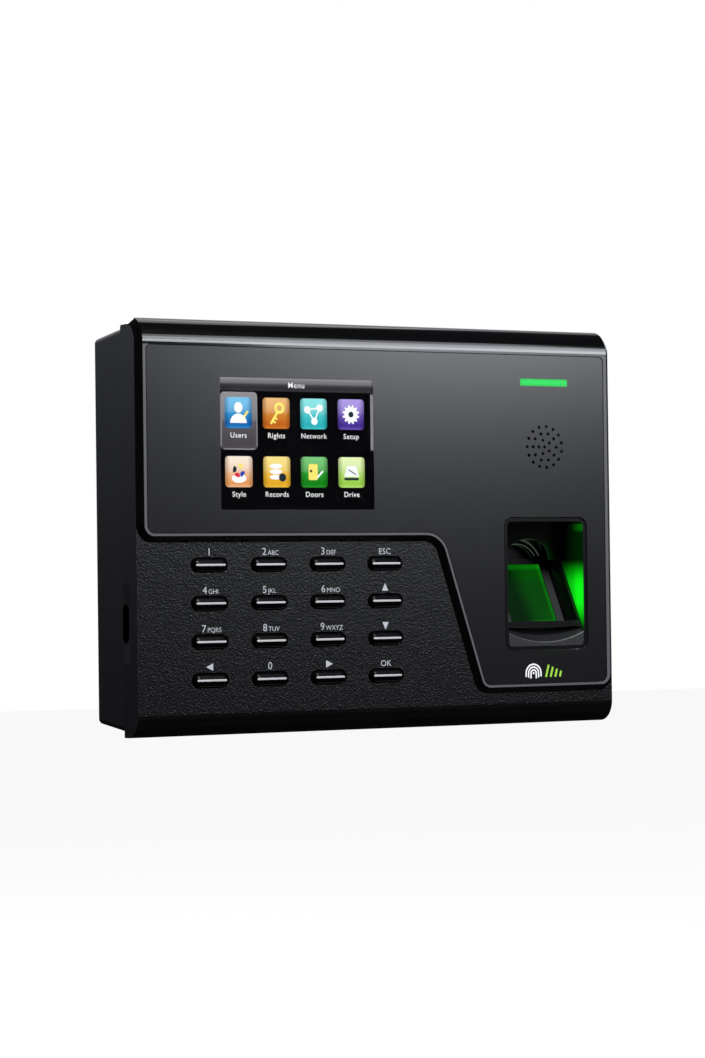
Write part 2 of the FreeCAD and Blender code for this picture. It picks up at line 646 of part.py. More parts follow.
def on_cradle(x, n, s):
    """A point near the leaning cradle: n out of its surface, s up along it."""
    d = cradle_foot[0] + s * math.sin(tilt) - n * math.cos(tilt)
    z = cradle_z + s * math.cos(tilt) + n * math.sin(tilt)
    return at(well_x + x, d, z)


def leaning(half_x, n0, n1, s0, s1, half_top=None):
    """A block on the cradle from n0 to n1, as wide as half_x at n0 and half_top at n1."""
    half_top = half_x if half_top is None else half_top
    wire = outline([(on_cradle(x, n, s0), 0) for x, n in ((-half_x, n0), (half_x, n0), (half_top, n1), (-half_top, n1))])
    return fill(wire, on_cradle(0, 0, s1) - on_cradle(0, 0, s0))


inner_half = (well_size[0] / 2 - seam_gap - bezel_wall, well_size[1] / 2 - seam_gap - bezel_wall)
frame_top = -trough_depth + glass_frame_thickness
glass_top = frame_top - 0.3
glass_mid = glass_start + glass_frame_size[1] / 2
glass_s = (glass_mid - glass_size[1] / 2, glass_mid + glass_size[1] / 2)
rest_rear = on_cradle(0, frame_top, glass_start).y + depth - 0.3
rest_z = well_z - inner_half[1]
housing_z = (rest_z + 1.0, well_z + 7.5)
housing_mid = sum(housing_z) / 2
housing_rear = bezel_depth + housing_depth


def rest_roll():
    """The hollow that the front lip's top follows: a big cylinder that leans with the ramp."""
    radius = 50.0
    lip, ramp = (1.4, cradle_z - 3.7), math.radians(36.0)
    axis = FreeCAD.Vector(0, math.cos(ramp), math.sin(ramp))
    lift = FreeCAD.Vector(0, -math.sin(ramp), math.cos(ramp)) * radius
    start = at(well_x, lip[0], lip[1]) + lift - axis * 20
    return Part.makeCylinder(radius, 60, start, axis)


def finger_rest():
    block = slab(well_x - inner_half[0] + fit_gap, well_x + inner_half[0] - fit_gap, bezel_recess, rest_rear,
                 rest_z, cradle_z + 1.0, 1.6)
    rest = block.cut(rest_roll())
    lip = [e for e in rest.Edges if e.BoundBox.YMax < bezel_recess - depth + 0.01
           and e.BoundBox.XLength > inner_half[0] and e.BoundBox.ZMin > rest_z + 1.0]
    return rest.makeFillet(rest_edge_round, lip)


def sensor_bezel():
    """Liner of the finger well: leaning trough, low roof, stepped arches and a seat for the lip."""
    block = plate_at(well_x, well_z, (well_size[0] - 2 * seam_gap, well_size[1] - 2 * seam_gap), bezel_recess,
                     bezel_depth, well_corner - seam_gap)
    flange = plate_at(well_x, well_z, (well_size[0] + 4, well_size[1] + 4), plateau_wall + 0.05,
                      plateau_wall + 1.6, well_corner + 2)
    body = joined([block, flange])
    roof_z = well_z + inner_half[1]
    knee = on_cradle(0, 0, 29.9)
    mouth = across(well_x - inner_half[0], well_x + inner_half[0],
                   [(-1, roof_z, 0), (roof_depth, roof_z, 0), (knee.y + depth, knee.z, 1.5),
                    (cradle_foot[0], cradle_z, 0), (-1, cradle_z - 1, 0)])
    mouth = mouth.common(plate_at(well_x, well_z, (2 * inner_half[0], 2 * inner_half[1]), -1, far,
                                  well_corner - seam_gap - bezel_wall))
    trough = leaning(trough_floor / 2, -trough_depth, 0.6, glass_start - 0.2,
                     glass_start + glass_frame_size[1] + 0.3, trough_mouth / 2)
    arches = [rod(well_x, well_z + 5.6, r, roof_depth - 2, d) for r, d in arch_steps]
    lip_seat = slab(well_x - inner_half[0], well_x + inner_half[0], -1, rest_rear + fit_gap, rest_z - fit_gap,
                    cradle_z + 1.2, 1.6)
    window = leaning(glass_size[0] / 2 + fit_gap, -trough_depth - prism_thickness, -trough_depth + 1,
                     glass_s[0] - fit_gap, glass_s[1] + fit_gap)
    behind = leaning(inner_half[0] - 1.0, -trough_depth - 40, -trough_depth - 2.2, -16.0, 60.0)
    behind = behind.common(slab(well_x - inner_half[0] + 0.8, well_x + inner_half[0] - 0.8, rest_rear + 2.5,
                                far, rest_z, well_z + 3.0))
    return without(body, [mouth, trough, lip_seat, window, behind] + arches)


def glass_frame():
    frame = leaning(glass_frame_size[0] / 2, -trough_depth + 0.02, frame_top, glass_start,
                    glass_start + glass_frame_size[1])
    hole = leaning(glass_size[0] / 2 + 0.1, -trough_depth - 1, 1, glass_s[0] - 0.1, glass_s[1] + 0.1)
    return frame.cut(hole)


def sensor_housing():
    half_x = inner_half[0] - 1.0
    low, high = housing_z
    outer = slab(well_x - half_x, well_x + half_x, bezel_depth + 0.05, housing_rear, low, high, 1.0)
    w = housing_wall
    inner = slab(well_x - half_x + w, well_x + half_x - w, 0, housing_rear + 1, low + w, high - w, 0.5)
    return outer.cut(inner)


save("sensor_bezel", sensor_bezel())
save("finger_rest", finger_rest())
save("sensor_prism", leaning(glass_size[0] / 2, glass_top - prism_thickness, glass_top, *glass_s))
save("sensor_glass_frame", glass_frame())
save("sensor_housing", sensor_housing())

camera_board_front = housing_rear + 0.05
save("sensor_board", plate_at(well_x, housing_mid, (30.0, 34.0), camera_board_front, camera_board_front + 1.0, 1.0))
barrel = rod(well_x, housing_mid, 4.0, camera_board_front - 4.6, camera_board_front)
save("sensor_camera", joined([plate_at(well_x, housing_mid, (11.0, 11.0), camera_board_front - 2.4,
                                       camera_board_front), barrel]))
save("sensor_leds", *[plate_at(well_x + sx * 10.0, housing_mid + sz * 9.0, (3.2, 2.8), camera_board_front - 2.0,
                               camera_board_front) for sx in (-1, 1) for sz in (-1, 1)])


# ---------------------------------------------------------------- speaker and status light
def speaker():
    front = plateau_wall + 0.05
    basket = rod(well_x, speaker_z, 14.0, front, front + 1.0)
    bowl = cone(well_x, speaker_z, 13.4, 8.0, front + 1.0, front + 4.2)
    magnet = rod(well_x, speaker_z, 7.2, front + 4.2, front + 7.4)
    hollow = cone(well_x, speaker_z, 12.4, 5.0, front - 0.01, front + 3.4)
    return joined([basket, bowl, magnet]).cut(hollow)


def speaker_cone():
    front = plateau_wall + 0.25
    outer = cone(well_x, speaker_z, 11.6, 4.4, front, front + 3.0)
    inner = cone(well_x, speaker_z, 11.3, 4.1, front - 0.01, front + 2.7)
    cap = rod(well_x, speaker_z, 4.0, front + 1.6, front + 2.9)
    return joined([outer.cut(inner), cap])


save("speaker_basket", speaker())
save("speaker_cone", speaker_cone())

light_board = plate_at(well_x, light_z, (light_size[0] + 9.6, 6.4), light_board_front,
                       light_board_front + 1.2, 1.0)
save("status_light_board", without(light_board, [rod(x, z, small_screw_r + hole_gap, 0, far) for x, z in light_screws]))
save("status_leds", *[plate_at(well_x + i * 6.0, light_z, (2.8, 2.4), light_board_front - 1.0, light_board_front)
                      for i in (-1, 0, 1)])


# ---------------------------------------------------------------- main board and what stands on it
def main_board():
    board = slab(main_left, main_right, main_front, main_rear, bottom + main_board_ends, top - main_board_ends, 2.0)
    return without(board, [rod(x, z, small_screw_r + hole_gap, 0, far) for x, z in main_screws])


def terminal_block(x, ways):
    """Screw terminals in a row: wires enter from below, screws face the wall."""
    pitch, tall = terminal_pitch, 9.5
    z_low = bay_z - 2.0
    block = slab(x, x + ways * pitch, main_rear, main_rear + 10.6, z_low, z_low + tall)
    middle = main_rear + 4.0
    cuts = []
    for i in range(ways):
        centre = x + (i + 0.5) * pitch
        cuts.append(slab(centre - 1.6, centre + 1.6, middle - 1.9, middle + 1.9, z_low - 1, z_low + 5.5))
        cuts.append(rod(centre, z_low + 5.6, 1.7, main_rear + 6.6, far))
    return without(block, cuts)


def terminal_screws(x, ways):
    return [screw(x + (i + 0.5) * terminal_pitch, bay_z + 3.6, 1.1, main_rear + 7.2, 0.5, head=1.35, rise=1.4)
            for i in range(ways)]


def ethernet_jack(x):
    z_low = bay_z - 6.0
    body = slab(x, x + 16.0, main_rear, main_rear + 13.4, z_low, z_low + 18.0, 0.4)
    socket = slab(x + 2.1, x + 13.9, main_rear + 2.4, main_rear + 10.6, z_low - 1, z_low + 12.0)
    latch = slab(x + 5.0, x + 11.0, main_rear + 9.0, main_rear + 12.2, z_low - 1, z_low + 9.0)
    return without(body, [socket, latch])


def power_jack(x):
    z_low = bay_z - 3.0
    middle = at(x + 4.5, main_rear + 6.2, z_low - 1)
    upward = FreeCAD.Vector(0, 0, 1)
    body = slab(x, x + 9.0, main_rear, main_rear + 11.0, z_low, z_low + 14.0, 0.3)
    body = body.cut(Part.makeCylinder(3.2, 11.0, middle, upward))
    return joined([body, Part.makeCylinder(1.0, 12.0, middle + upward * 1.6, upward)])


bay_left = bay_x - bay_size[0] / 2
save("main_board", main_board())
save("terminal_blocks", *[terminal_block(bay_left + x, ways) for x, ways in terminals])
save("terminal_screws", *[s for x, ways in terminals for s in terminal_screws(bay_left + x, ways)])
save("power_jack", power_jack(bay_left + 56.0))
save("ethernet_jack", ethernet_jack(bay_left + 66.5))
chips_z = top - 41.0
can_x = main_left + 34.0
save("relay", slab(main_right - 18.0, main_right - 2.5, main_front - 13.0, main_front, chips_z - 12.0, chips_z + 8.0, 0.5))
save("processor", plate_at(main_left + 62.0, chips_z, (16.0, 16.0), main_front - 1.3, main_front))
can = plate_at(can_x, chips_z, (28.0, 22.0), main_front - 3.0, main_front, 0.8)
save("shield_can", can.cut(plate_at(can_x, chips_z, (27.4, 21.4), main_front - 2.7, main_front + 1, 0.5)))

cell_x, cell_z = main_left + 88.0, bottom + 59.0
holder = plate_at(cell_x, cell_z, (24.0, 22.0), main_front - 4.6, main_front, 1.5)
save("battery_holder", holder.cut(rod(cell_x, cell_z, 10.3, main_front - 5, main_front - 0.8)))
save("coin_cell", rod(cell_x, cell_z, 10.0, main_front - 4.1, main_front - 0.85))

tray_seat = tray_front + lcd_tray_depth
save("board_screws",
     *([screw(x, z, small_screw_r, main_front, 7.5, forward=False) for x, z in main_screws]
       + [screw(x, z, small_screw_r, pad_rear, 4.2) for x, z in pad_screws]
       + [screw(x, z, small_screw_r, light_board_front + 1.2, 2.8) for x, z in light_screws]
       + [screw(x, z, small_screw_r, tray_seat, 2.9) for x, z in lcd_screws]
       + [screw(x, z, small_screw_r, usb_board_front, 5.5, forward=False) for x, z in usb_screws]))


# ---------------------------------------------------------------- side USB socket
def usb_socket():
    half_z, sheet = 6.55, 0.35
    d0, d1 = usb_depth - 2.95, usb_board_front
    shell = slab(usb_mouth, usb_mouth + usb_reach, d0, d1, slot_z - half_z, slot_z + half_z, 0.2)
    cavity = slab(usb_mouth - 1, usb_mouth + usb_reach - sheet, d0 + sheet, d1 - sheet,
                  slot_z - half_z + sheet, slot_z + half_z - sheet)
    return shell.cut(cavity)


save("usb_socket", usb_socket())
save("usb_tongue", slab(usb_mouth + 5.0, usb_mouth + usb_reach - 0.4, usb_depth - 2.5, usb_depth - 0.7,
                        slot_z - 5.6, slot_z + 5.6))
usb_board = slab(usb_mouth + 0.5, usb_mouth + usb_reach + 5.0, usb_board_front, usb_board_front + board_thickness,
                 slot_z - 14.0, slot_z + 14.0, 1.0)
save("usb_board", without(usb_board, [rod(x, z, small_screw_r + hole_gap, 0, far) for x, z in usb_screws]))


# ---------------------------------------------------------------- tamper switch
flange_top = shell_floor - 1.0 - 0.1
switch_top = main_rear + 4.0


def tamper_plunger():
    """Pin that stands on the wall through the shell and the plate; its flange stops inside."""
    tip = depth - 0.3
    pin = rod(plunger_x, plunger_z, plunger_r, flange_top - 0.5, tip - 0.6)
    end = cone(plunger_x, plunger_z, plunger_r, plunger_r - 0.5, tip - 0.6, tip)
    flange = rod(plunger_x, plunger_z, 3.4, flange_top - 1.2, flange_top)
    stem = rod(plunger_x, plunger_z, 1.0, switch_top - plunger_stem_grip, flange_top - 1.0)
    return joined([pin, end, flange, stem])


def tamper_switch():
    body = plate_at(plunger_x, plunger_z, (10.0, 7.0), main_rear, switch_top, 0.4)
    floor = switch_top - plunger_stem_grip - plunger_travel - 0.6
    return body.cut(rod(plunger_x, plunger_z, 1.06, floor, far))


def tamper_spring():
    """Coil spring round the stem, between the switch and the flange."""
    wire_r, coil_r, turns, per_turn = 0.25, 2.2, 3.5, 10
    low, high = switch_top + wire_r + 0.1, flange_top - 1.2 - wire_r - 0.1
    count = int(turns * per_turn)
    rings = []
    for i in range(count + 1):
        angle = 2 * math.pi * i / per_turn
        rise = (high - low) / turns / (2 * math.pi)
        centre = at(plunger_x + coil_r * math.cos(angle), low + rise * angle, plunger_z + coil_r * math.sin(angle))
        along = FreeCAD.Vector(-coil_r * math.sin(angle), rise, coil_r * math.cos(angle))
        rings.append(Part.Wire(Part.makeCircle(wire_r, centre, along)))
    return Part.makeLoft(rings, True, True)


save("tamper_plunger", tamper_plunger())
save("tamper_switch", tamper_switch())
save("tamper_spring", tamper_spring())
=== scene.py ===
"""Looks of the wall-mounted fingerprint terminal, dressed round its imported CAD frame.

The case, keys, sensor and boards are CAD nodes and get their finishes here. The printed legends, the lit
menu, the emblem, the ridge lines of the keys and the small parts that repeat are built here as meshes.
All sizes are in metres. Depth is counted backwards from the fascia's face.
"""
import json
import logging
import math
from dataclasses import dataclass, field
from enum import Enum
from typing import Iterable, Optional, Protocol, Sequence

import bmesh
import bpy
from mathutils import Matrix, Vector


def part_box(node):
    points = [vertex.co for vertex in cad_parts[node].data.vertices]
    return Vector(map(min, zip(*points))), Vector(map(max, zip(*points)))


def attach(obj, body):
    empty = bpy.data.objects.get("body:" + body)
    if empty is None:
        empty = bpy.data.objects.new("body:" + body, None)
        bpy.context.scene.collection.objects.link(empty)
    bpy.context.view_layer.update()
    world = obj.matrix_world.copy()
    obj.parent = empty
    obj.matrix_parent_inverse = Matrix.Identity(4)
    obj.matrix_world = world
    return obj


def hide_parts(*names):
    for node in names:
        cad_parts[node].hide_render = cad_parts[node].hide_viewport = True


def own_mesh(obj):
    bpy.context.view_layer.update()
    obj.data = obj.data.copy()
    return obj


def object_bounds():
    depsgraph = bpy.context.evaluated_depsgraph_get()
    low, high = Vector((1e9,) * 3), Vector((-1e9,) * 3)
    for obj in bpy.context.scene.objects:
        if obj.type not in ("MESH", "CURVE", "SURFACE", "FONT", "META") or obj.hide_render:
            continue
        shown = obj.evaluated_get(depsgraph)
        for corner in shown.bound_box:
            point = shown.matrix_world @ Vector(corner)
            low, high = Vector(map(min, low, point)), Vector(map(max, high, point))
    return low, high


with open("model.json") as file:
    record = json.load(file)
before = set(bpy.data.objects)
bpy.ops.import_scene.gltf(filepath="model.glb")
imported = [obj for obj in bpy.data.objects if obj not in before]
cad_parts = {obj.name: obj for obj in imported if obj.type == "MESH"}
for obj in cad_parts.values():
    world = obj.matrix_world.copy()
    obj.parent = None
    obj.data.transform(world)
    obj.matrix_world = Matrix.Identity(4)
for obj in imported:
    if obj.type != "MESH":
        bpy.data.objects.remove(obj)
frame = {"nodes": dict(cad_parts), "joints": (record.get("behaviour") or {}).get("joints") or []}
CAD_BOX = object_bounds()

log = logging.getLogger("terminal")
MM = 0.001
CASE = "case"
CAP = "_cap"   # ends the name of every key's body
FACE_Y = CAD_BOX[0].y
Point = tuple[float, float]
Colour = tuple[float, float, float]
Place = tuple[float, float, float]


def srgb(r: float, g: float, b: float) -> Colour:
    """Turns an 8-bit display colour into linear light.

    Args:
        r: red, 0 to 255.
        g: green, 0 to 255.
        b: blue, 0 to 255.

    Returns:
        The colour as linear values.
    """
    def one(v: float) -> float:
        """Linear value of one 8-bit channel."""
        v /= 255.0
        return v / 12.92 if v <= 0.04045 else ((v + 0.055) / 1.055) ** 2.4
    return one(r), one(g), one(b)


def shade(colour: Colour, factor: float) -> Colour:
    """A colour made darker or lighter by a factor."""
    return tuple(min(c * factor, 1.0) for c in colour)


def middle_of(node: str) -> Point:
    """The middle of a CAD node's box, across and up."""
    low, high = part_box(node)
    return (low.x + high.x) / 2, (low.z + high.z) / 2


def finished(bm: bmesh.types.BMesh, name: str, outwards: bool = True) -> bpy.types.Mesh:
    """Turn a bmesh into a mesh and free it.

    Args:
        bm: the shape.
        name: the mesh's name.
        outwards: turn its faces outwards first.

    Returns:
        The new mesh.
    """
    if outwards:
        bmesh.ops.recalc_face_normals(bm, faces=bm.faces)
    mesh = bpy.data.meshes.new(name)
    bm.to_mesh(mesh)
    bm.free()
    return mesh


def socket_of(node: bpy.types.Node, key: str) -> bpy.types.NodeSocket:
    """A node's input by its name with underscores for spaces, or by its place as i0, i1."""
    by_place = key[0] == "i" and key[1:].isdigit()
    return node.inputs[int(key[1:]) if by_place else key.replace("_", " ")]


# ------------------------------------------------------------------------------------------ node graphs
FLAT = 0.99995   # a normal's share along an axis from which its face counts as square to that axis


class Graph:
    """A material's node tree with short calls for the nodes that the finishes use."""

    def __init__(self, name: str) -> None:
        """Start an empty material.

        Args:
            name: the material's name.
        """
        self.material = bpy.data.materials.new(name)
        self.material.use_nodes = True
        self.tree = self.material.node_tree
        self.tree.nodes.clear()
        self.output = self.tree.nodes.new("ShaderNodeOutputMaterial")
        self.shader = self.tree.nodes.new("ShaderNodeBsdfPrincipled")
        self.tree.links.new(self.shader.outputs[0], self.output.inputs["Surface"])
        coords = self.tree.nodes.new("ShaderNodeTexCoord")
        self.place = coords.outputs["Object"]

    def plug(self, value: object, socket: bpy.types.NodeSocket) -> None:
        """Link a socket, or set a constant on it."""
        if isinstance(value, bpy.types.NodeSocket):
            self.tree.links.new(value, socket)
        elif value is not None:
            if socket.type == "RGBA" and len(value) == 3:
                value = (*value, 1.0)
            socket.default_value = value

    def node(self, kind: str, outlet: object = 0, settings: Optional[dict] = None,
             **inputs: object) -> bpy.types.NodeSocket:
        """Add a node and return one of its outputs.

        Args:
            kind: the node's type without its ShaderNode prefix.
            outlet: index or name of the output to return.
            settings: properties to set on the node.
            inputs: values or sockets by input name, with underscores for spaces, or by place as i0, i1.

        Returns:
            The chosen output socket.
        """
        made = self.tree.nodes.new("ShaderNode" + kind)
        for key, value in (settings or {}).items():
            setattr(made, key, value)
        for key, value in inputs.items():
            self.plug(value, socket_of(made, key))
        return made.outputs[outlet]

    def math(self, operation: str, a: object, b: object = None) -> bpy.types.NodeSocket:
        """One Math node on one or two values."""
        made = self.tree.nodes.new("ShaderNodeMath")
        made.operation = operation
        self.plug(a, made.inputs[0])
        self.plug(b, made.inputs[1])
        return made.outputs[0]

    def axis(self, letter: str) -> bpy.types.NodeSocket:
        """The object coordinate along X, Y or Z."""
        return self.node("SeparateXYZ", letter, Vector=self.place)

    def facing(self, letter: str) -> bpy.types.NodeSocket:
        """The flat face's normal's share along X, Y or Z."""
        geometry = self.node("NewGeometry", "True Normal")
        return self.node("SeparateXYZ", letter, Vector=geometry)

    def step(self, value: object, low: float, high: float) -> bpy.types.NodeSocket:
        """A smooth 0 to 1 ramp as value goes from low to high, which may be the smaller."""
        made = self.tree.nodes.new("ShaderNodeMapRange")
        made.interpolation_type = "SMOOTHSTEP"
        self.plug(value, made.inputs["Value"])
        for key, number in (("From Min", low), ("From Max", high)):
            made.inputs[key].default_value = number
        return made.outputs[0]

    def inverse(self, mask: bpy.types.NodeSocket) -> bpy.types.NodeSocket:
        """One less a mask."""
        return self.math("SUBTRACT", 1.0, mask)

    def both(self, *masks: bpy.types.NodeSocket) -> bpy.types.NodeSocket:
        """The product of several masks."""
        result = masks[0]
        for mask in masks[1:]:
            result = self.math("MULTIPLY", result, mask)
        return result

    def either(self, *masks: bpy.types.NodeSocket) -> bpy.types.NodeSocket:
        """The largest of several masks."""
        result = masks[0]
        for mask in masks[1:]:
            result = self.math("MAXIMUM", result, mask)
        return result

    def mix(self, factor: object, a: object, b: object) -> bpy.types.NodeSocket:
        """Blend two colours."""
        made = self.tree.nodes.new("ShaderNodeMix")
        made.data_type = "RGBA"
        self.plug(factor, made.inputs[0])
        self.plug(a, made.inputs[6])
        self.plug(b, made.inputs[7])
        return made.outputs[2]

    def blend(self, factor: object, a: object, b: object) -> bpy.types.NodeSocket:
        """Blend two numbers."""
        made = self.tree.nodes.new("ShaderNodeMix")
        made.data_type = "FLOAT"
        self.plug(factor, made.inputs[0])
        self.plug(a, made.inputs[2])
        self.plug(b, made.inputs[3])
        return made.outputs[0]

    def noise(self, size: float, detail: float = 3.0, stretch: Colour = (1, 1, 1)) -> bpy.types.NodeSocket:
        """Noise whose features are about size metres across, longer along axes with a small stretch."""
        where = self.node("Mapping", Vector=self.place, Scale=stretch)
        return self.node("TexNoise", "Fac", Vector=where, Scale=1.0 / size, Detail=detail)

    def base_normal(self) -> bpy.types.NodeSocket:
        """The smoothed normal, but the face's own one on planes square to an axis, so that they stay flat.

        Returns:
            The normal that a bump starts from.
        """
        square = self.either(*[self.math("ABSOLUTE", self.facing(letter)) for letter in "XYZ"])
        flat = self.math("GREATER_THAN", square, FLAT)
        made = self.tree.nodes.new("ShaderNodeMix")
        made.data_type = "VECTOR"
        self.plug(flat, made.inputs[0])
        self.plug(self.node("NewGeometry", "Normal"), made.inputs[4])
        self.plug(self.node("NewGeometry", "True Normal"), made.inputs[5])
        return made.outputs[1]

    def bump(self, height: object, distance: float) -> None:
        """Drive the shader's normal from a height between 0 and 1 that stands for distance metres."""
        normal = self.node("Bump", Height=height, Distance=distance, Normal=self.base_normal())
        self.tree.links.new(normal, self.shader.inputs["Normal"])

    def set(self, **inputs: object) -> "Graph":
        """Set or link the shader's own inputs by name, with underscores for spaces."""
        for key, value in inputs.items():
            self.plug(value, self.shader.inputs[key.replace("_", " ")])
        return self


# ------------------------------------------------------------------------------------------ finishes
class Finish(Protocol):
    """Anything that makes a material."""

    def build(self) -> bpy.types.Material:
        """Make the material."""


@dataclass(frozen=True)
class MouldedPlastic:
    """Injection-moulded plastic with a fine eroded texture."""

    name: str
    colour: Colour
    roughness: float = 0.5
    grain: float = 0.35 * MM
    relief: float = 0.012 * MM
    specular: float = 0.5

    def build(self) -> bpy.types.Material:
        """Make the material.

        Returns:
            The new material.
        """
        g = Graph(self.name)
        cloud = g.noise(9 * MM, 2.0)
        fine = g.noise(self.grain, 3.0)
        g.set(Base_Color=g.mix(cloud, shade(self.colour, 0.86), shade(self.colour, 1.14)),
              Specular_IOR_Level=self.specular,
              Roughness=g.blend(g.step(fine, 0.3, 0.7), self.roughness - 0.04, self.roughness + 0.05))
        g.bump(fine, self.relief)
        return g.material


@dataclass(frozen=True)
class PolishedPlastic:
    """Glossy moulded plastic with a faint orange peel and a few dust specks in its gloss."""

    name: str
    colour: Colour
    roughness: float = 0.09
    coat: float = 0.4
    specular: float = 0.5

    def build(self) -> bpy.types.Material:
        """Make the material.

        Returns:
            The new material.
        """
        g = Graph(self.name)
        peel = g.noise(2.6 * MM, 1.0)
        dust = g.step(g.noise(0.5 * MM, 2.0), 0.66, 0.8)
        light = tuple(min(c * 1.25 + 0.001, 1.0) for c in self.colour)
        g.set(Base_Color=g.mix(peel, self.colour, light), Specular_IOR_Level=self.specular,
              Coat_Weight=self.coat, Coat_Roughness=0.06,
              Roughness=g.blend(dust, self.roughness, self.roughness + 0.12))
        g.bump(peel, 0.01 * MM)
        return g.material


@dataclass(frozen=True)
class CaseFront:
    """The front moulding: grained keypad face, glossy flank and hood, rim with a painted highlight, foot with
    painted shade, satin ends.
    """

    name: str = "case_front_moulding"
    grained: Colour = srgb(8, 8, 10)
    satin: Colour = srgb(24, 23, 32)
    gloss: Colour = srgb(4, 4, 5)
    # painted highlight: this pale grey on the rim stands in for the light that its edge catches
    rim: Colour = srgb(84, 84, 89)
    step_depth: float = 2.3 * MM
    hood_height: float = 10.0 * MM
    # height of the foot, the bottom band that gets painted shade
    foot_height: float = 8.0 * MM
    edge: float = 0.1 * MM
    grain: float = 0.65 * MM
    specular: float = 0.25
    polish: float = 0.6

    def build(self) -> bpy.types.Material:
        """Make the material; its zones follow depth, height and the way the surface faces.

        Returns:
            The new material.
        """
        g = Graph(self.name)
        depth = g.math("SUBTRACT", g.axis("Y"), FACE_Y)
        forward = g.step(g.facing("Y"), -0.985, -0.999)
        sideways = g.step(g.math("ABSOLUTE", g.facing("X")), 0.98, 0.999)
        proud = g.step(depth, 0.12 * MM, 0.05 * MM)
        hood_foot = CAD_BOX[1].z - self.hood_height
        hood = g.step(g.axis("Z"), hood_foot, hood_foot + self.edge)
        low_face = g.step(depth, self.step_depth + 0.12 * MM, self.step_depth + 0.05 * MM)
        # the rim's mask: where the painted highlight colour and the rim's own roughness go
        rim = g.both(forward, proud, g.inverse(hood))
        face = g.both(forward, low_face, g.inverse(proud))
        foot_top = CAD_BOX[0].z + self.foot_height
        # the foot's mask: where painted shade darkens the grained colour
        foot = g.both(g.step(g.axis("Z"), foot_top + 6 * self.edge, foot_top), g.inverse(sideways))
        inner = g.step(depth, self.step_depth + 0.5 * MM, self.step_depth + 0.7 * MM)
        flank = g.both(g.inverse(forward), g.inverse(inner), g.inverse(sideways))
        shiny = g.either(flank, g.both(hood, g.inverse(sideways)))
        speckle = g.noise(5.0 * MM, 3.0)
        colour = g.mix(face, self.satin, g.mix(speckle, shade(self.grained, 0.82), shade(self.grained, 1.2)))
        # painted shade: the foot is darkened to 0.55 of the grained colour
        colour = g.mix(foot, colour, shade(self.grained, 0.55))
        colour = g.mix(shiny, colour, self.gloss)
        # painted highlight: the rim takes the pale rim colour
        colour = g.mix(rim, colour, self.rim)
        rough = g.blend(face, 0.46, 0.28)
        rough = g.blend(shiny, rough, 0.12)
        rough = g.blend(rim, rough, 0.32)
        cells = g.node("TexVoronoi", "Distance", {"feature": "SMOOTH_F1"}, Vector=g.place,
                       Scale=1 / self.grain)
        warp = g.math("MULTIPLY", g.noise(0.45 * MM, 2.0), 0.7)
        leather = g.both(g.math("ADD", cells, warp), g.either(face, foot))
        fine = g.both(g.noise(0.3 * MM, 2.0), g.inverse(g.either(shiny, rim, face)))
        g.set(Base_Color=colour, Roughness=rough, Specular_IOR_Level=self.specular, Coat_Roughness=0.1,
              Coat_Weight=g.math("MULTIPLY", shiny, self.polish))
        g.bump(g.math("ADD", leather, g.math("MULTIPLY", fine, 0.27)), 0.075 * MM)
        return g.material


@dataclass(frozen=True)
class FasciaSheet:
    """Smoked hard-coated inlay with the faintest brushed grain."""

    name: str = "fascia_smoked_sheet"
    colour: Colour = srgb(14, 14, 16)
    roughness: float = 0.22

    def build(self) -> bpy.types.Material:
        """Make the material.

        Returns:
            The new material.
        """
        g = Graph(self.name)
        haze = g.noise(24 * MM, 2.0)
        fine = g.noise(0.22 * MM, 2.0)
        g.set(Base_Color=g.mix(haze, shade(self.colour, 0.92), shade(self.colour, 1.08)),
              Roughness=g.blend(fine, self.roughness - 0.02, self.roughness + 0.02), Specular_IOR_Level=0.45)
        g.bump(fine, 0.0015 * MM)
        return g.material


@dataclass(frozen=True)
class ClearLens:
    """Hard clear plastic with no tint of its own."""

    name: str
    tint: Colour = (0.96, 0.97, 0.98)
    roughness: float = 0.0
    ior: float = 1.15

    def build(self) -> bpy.types.Material:
        """Make the material.

        Returns:
            The new material.
        """
        g = Graph(self.name)
        smear = g.noise(18 * MM, 2.0)
        g.set(Base_Color=self.tint, Transmission_Weight=1.0, IOR=self.ior,
              Roughness=g.blend(g.step(smear, 0.35, 0.75), self.roughness, self.roughness + 0.015))
        return g.material


@dataclass(frozen=True)
class Metal:
    """Bare or plated metal, brushed along one axis."""

    name: str
    colour: Colour = (0.6, 0.61, 0.63)
    roughness: float = 0.3
    brushed: Colour = (1.0, 1.0, 1.0)
    spangle: float = 0.0

    def build(self) -> bpy.types.Material:
        """Make the material.

        Returns:
            The new material.
        """
        g = Graph(self.name)
        lines = g.noise(0.25 * MM, 3.0, self.brushed)
        flakes = g.node("TexVoronoi", "Color", Vector=g.place, Scale=1 / (6 * MM))
        tone = g.node("SeparateColor", "Red", Color=flakes)
        dark = shade(self.colour, 0.92 - 0.25 * self.spangle)
        g.set(Base_Color=g.mix(tone, dark, self.colour), Metallic=1.0,
              Roughness=g.blend(lines, self.roughness - 0.07, self.roughness + 0.1))
        g.bump(lines, 0.006 * MM)
        return g.material


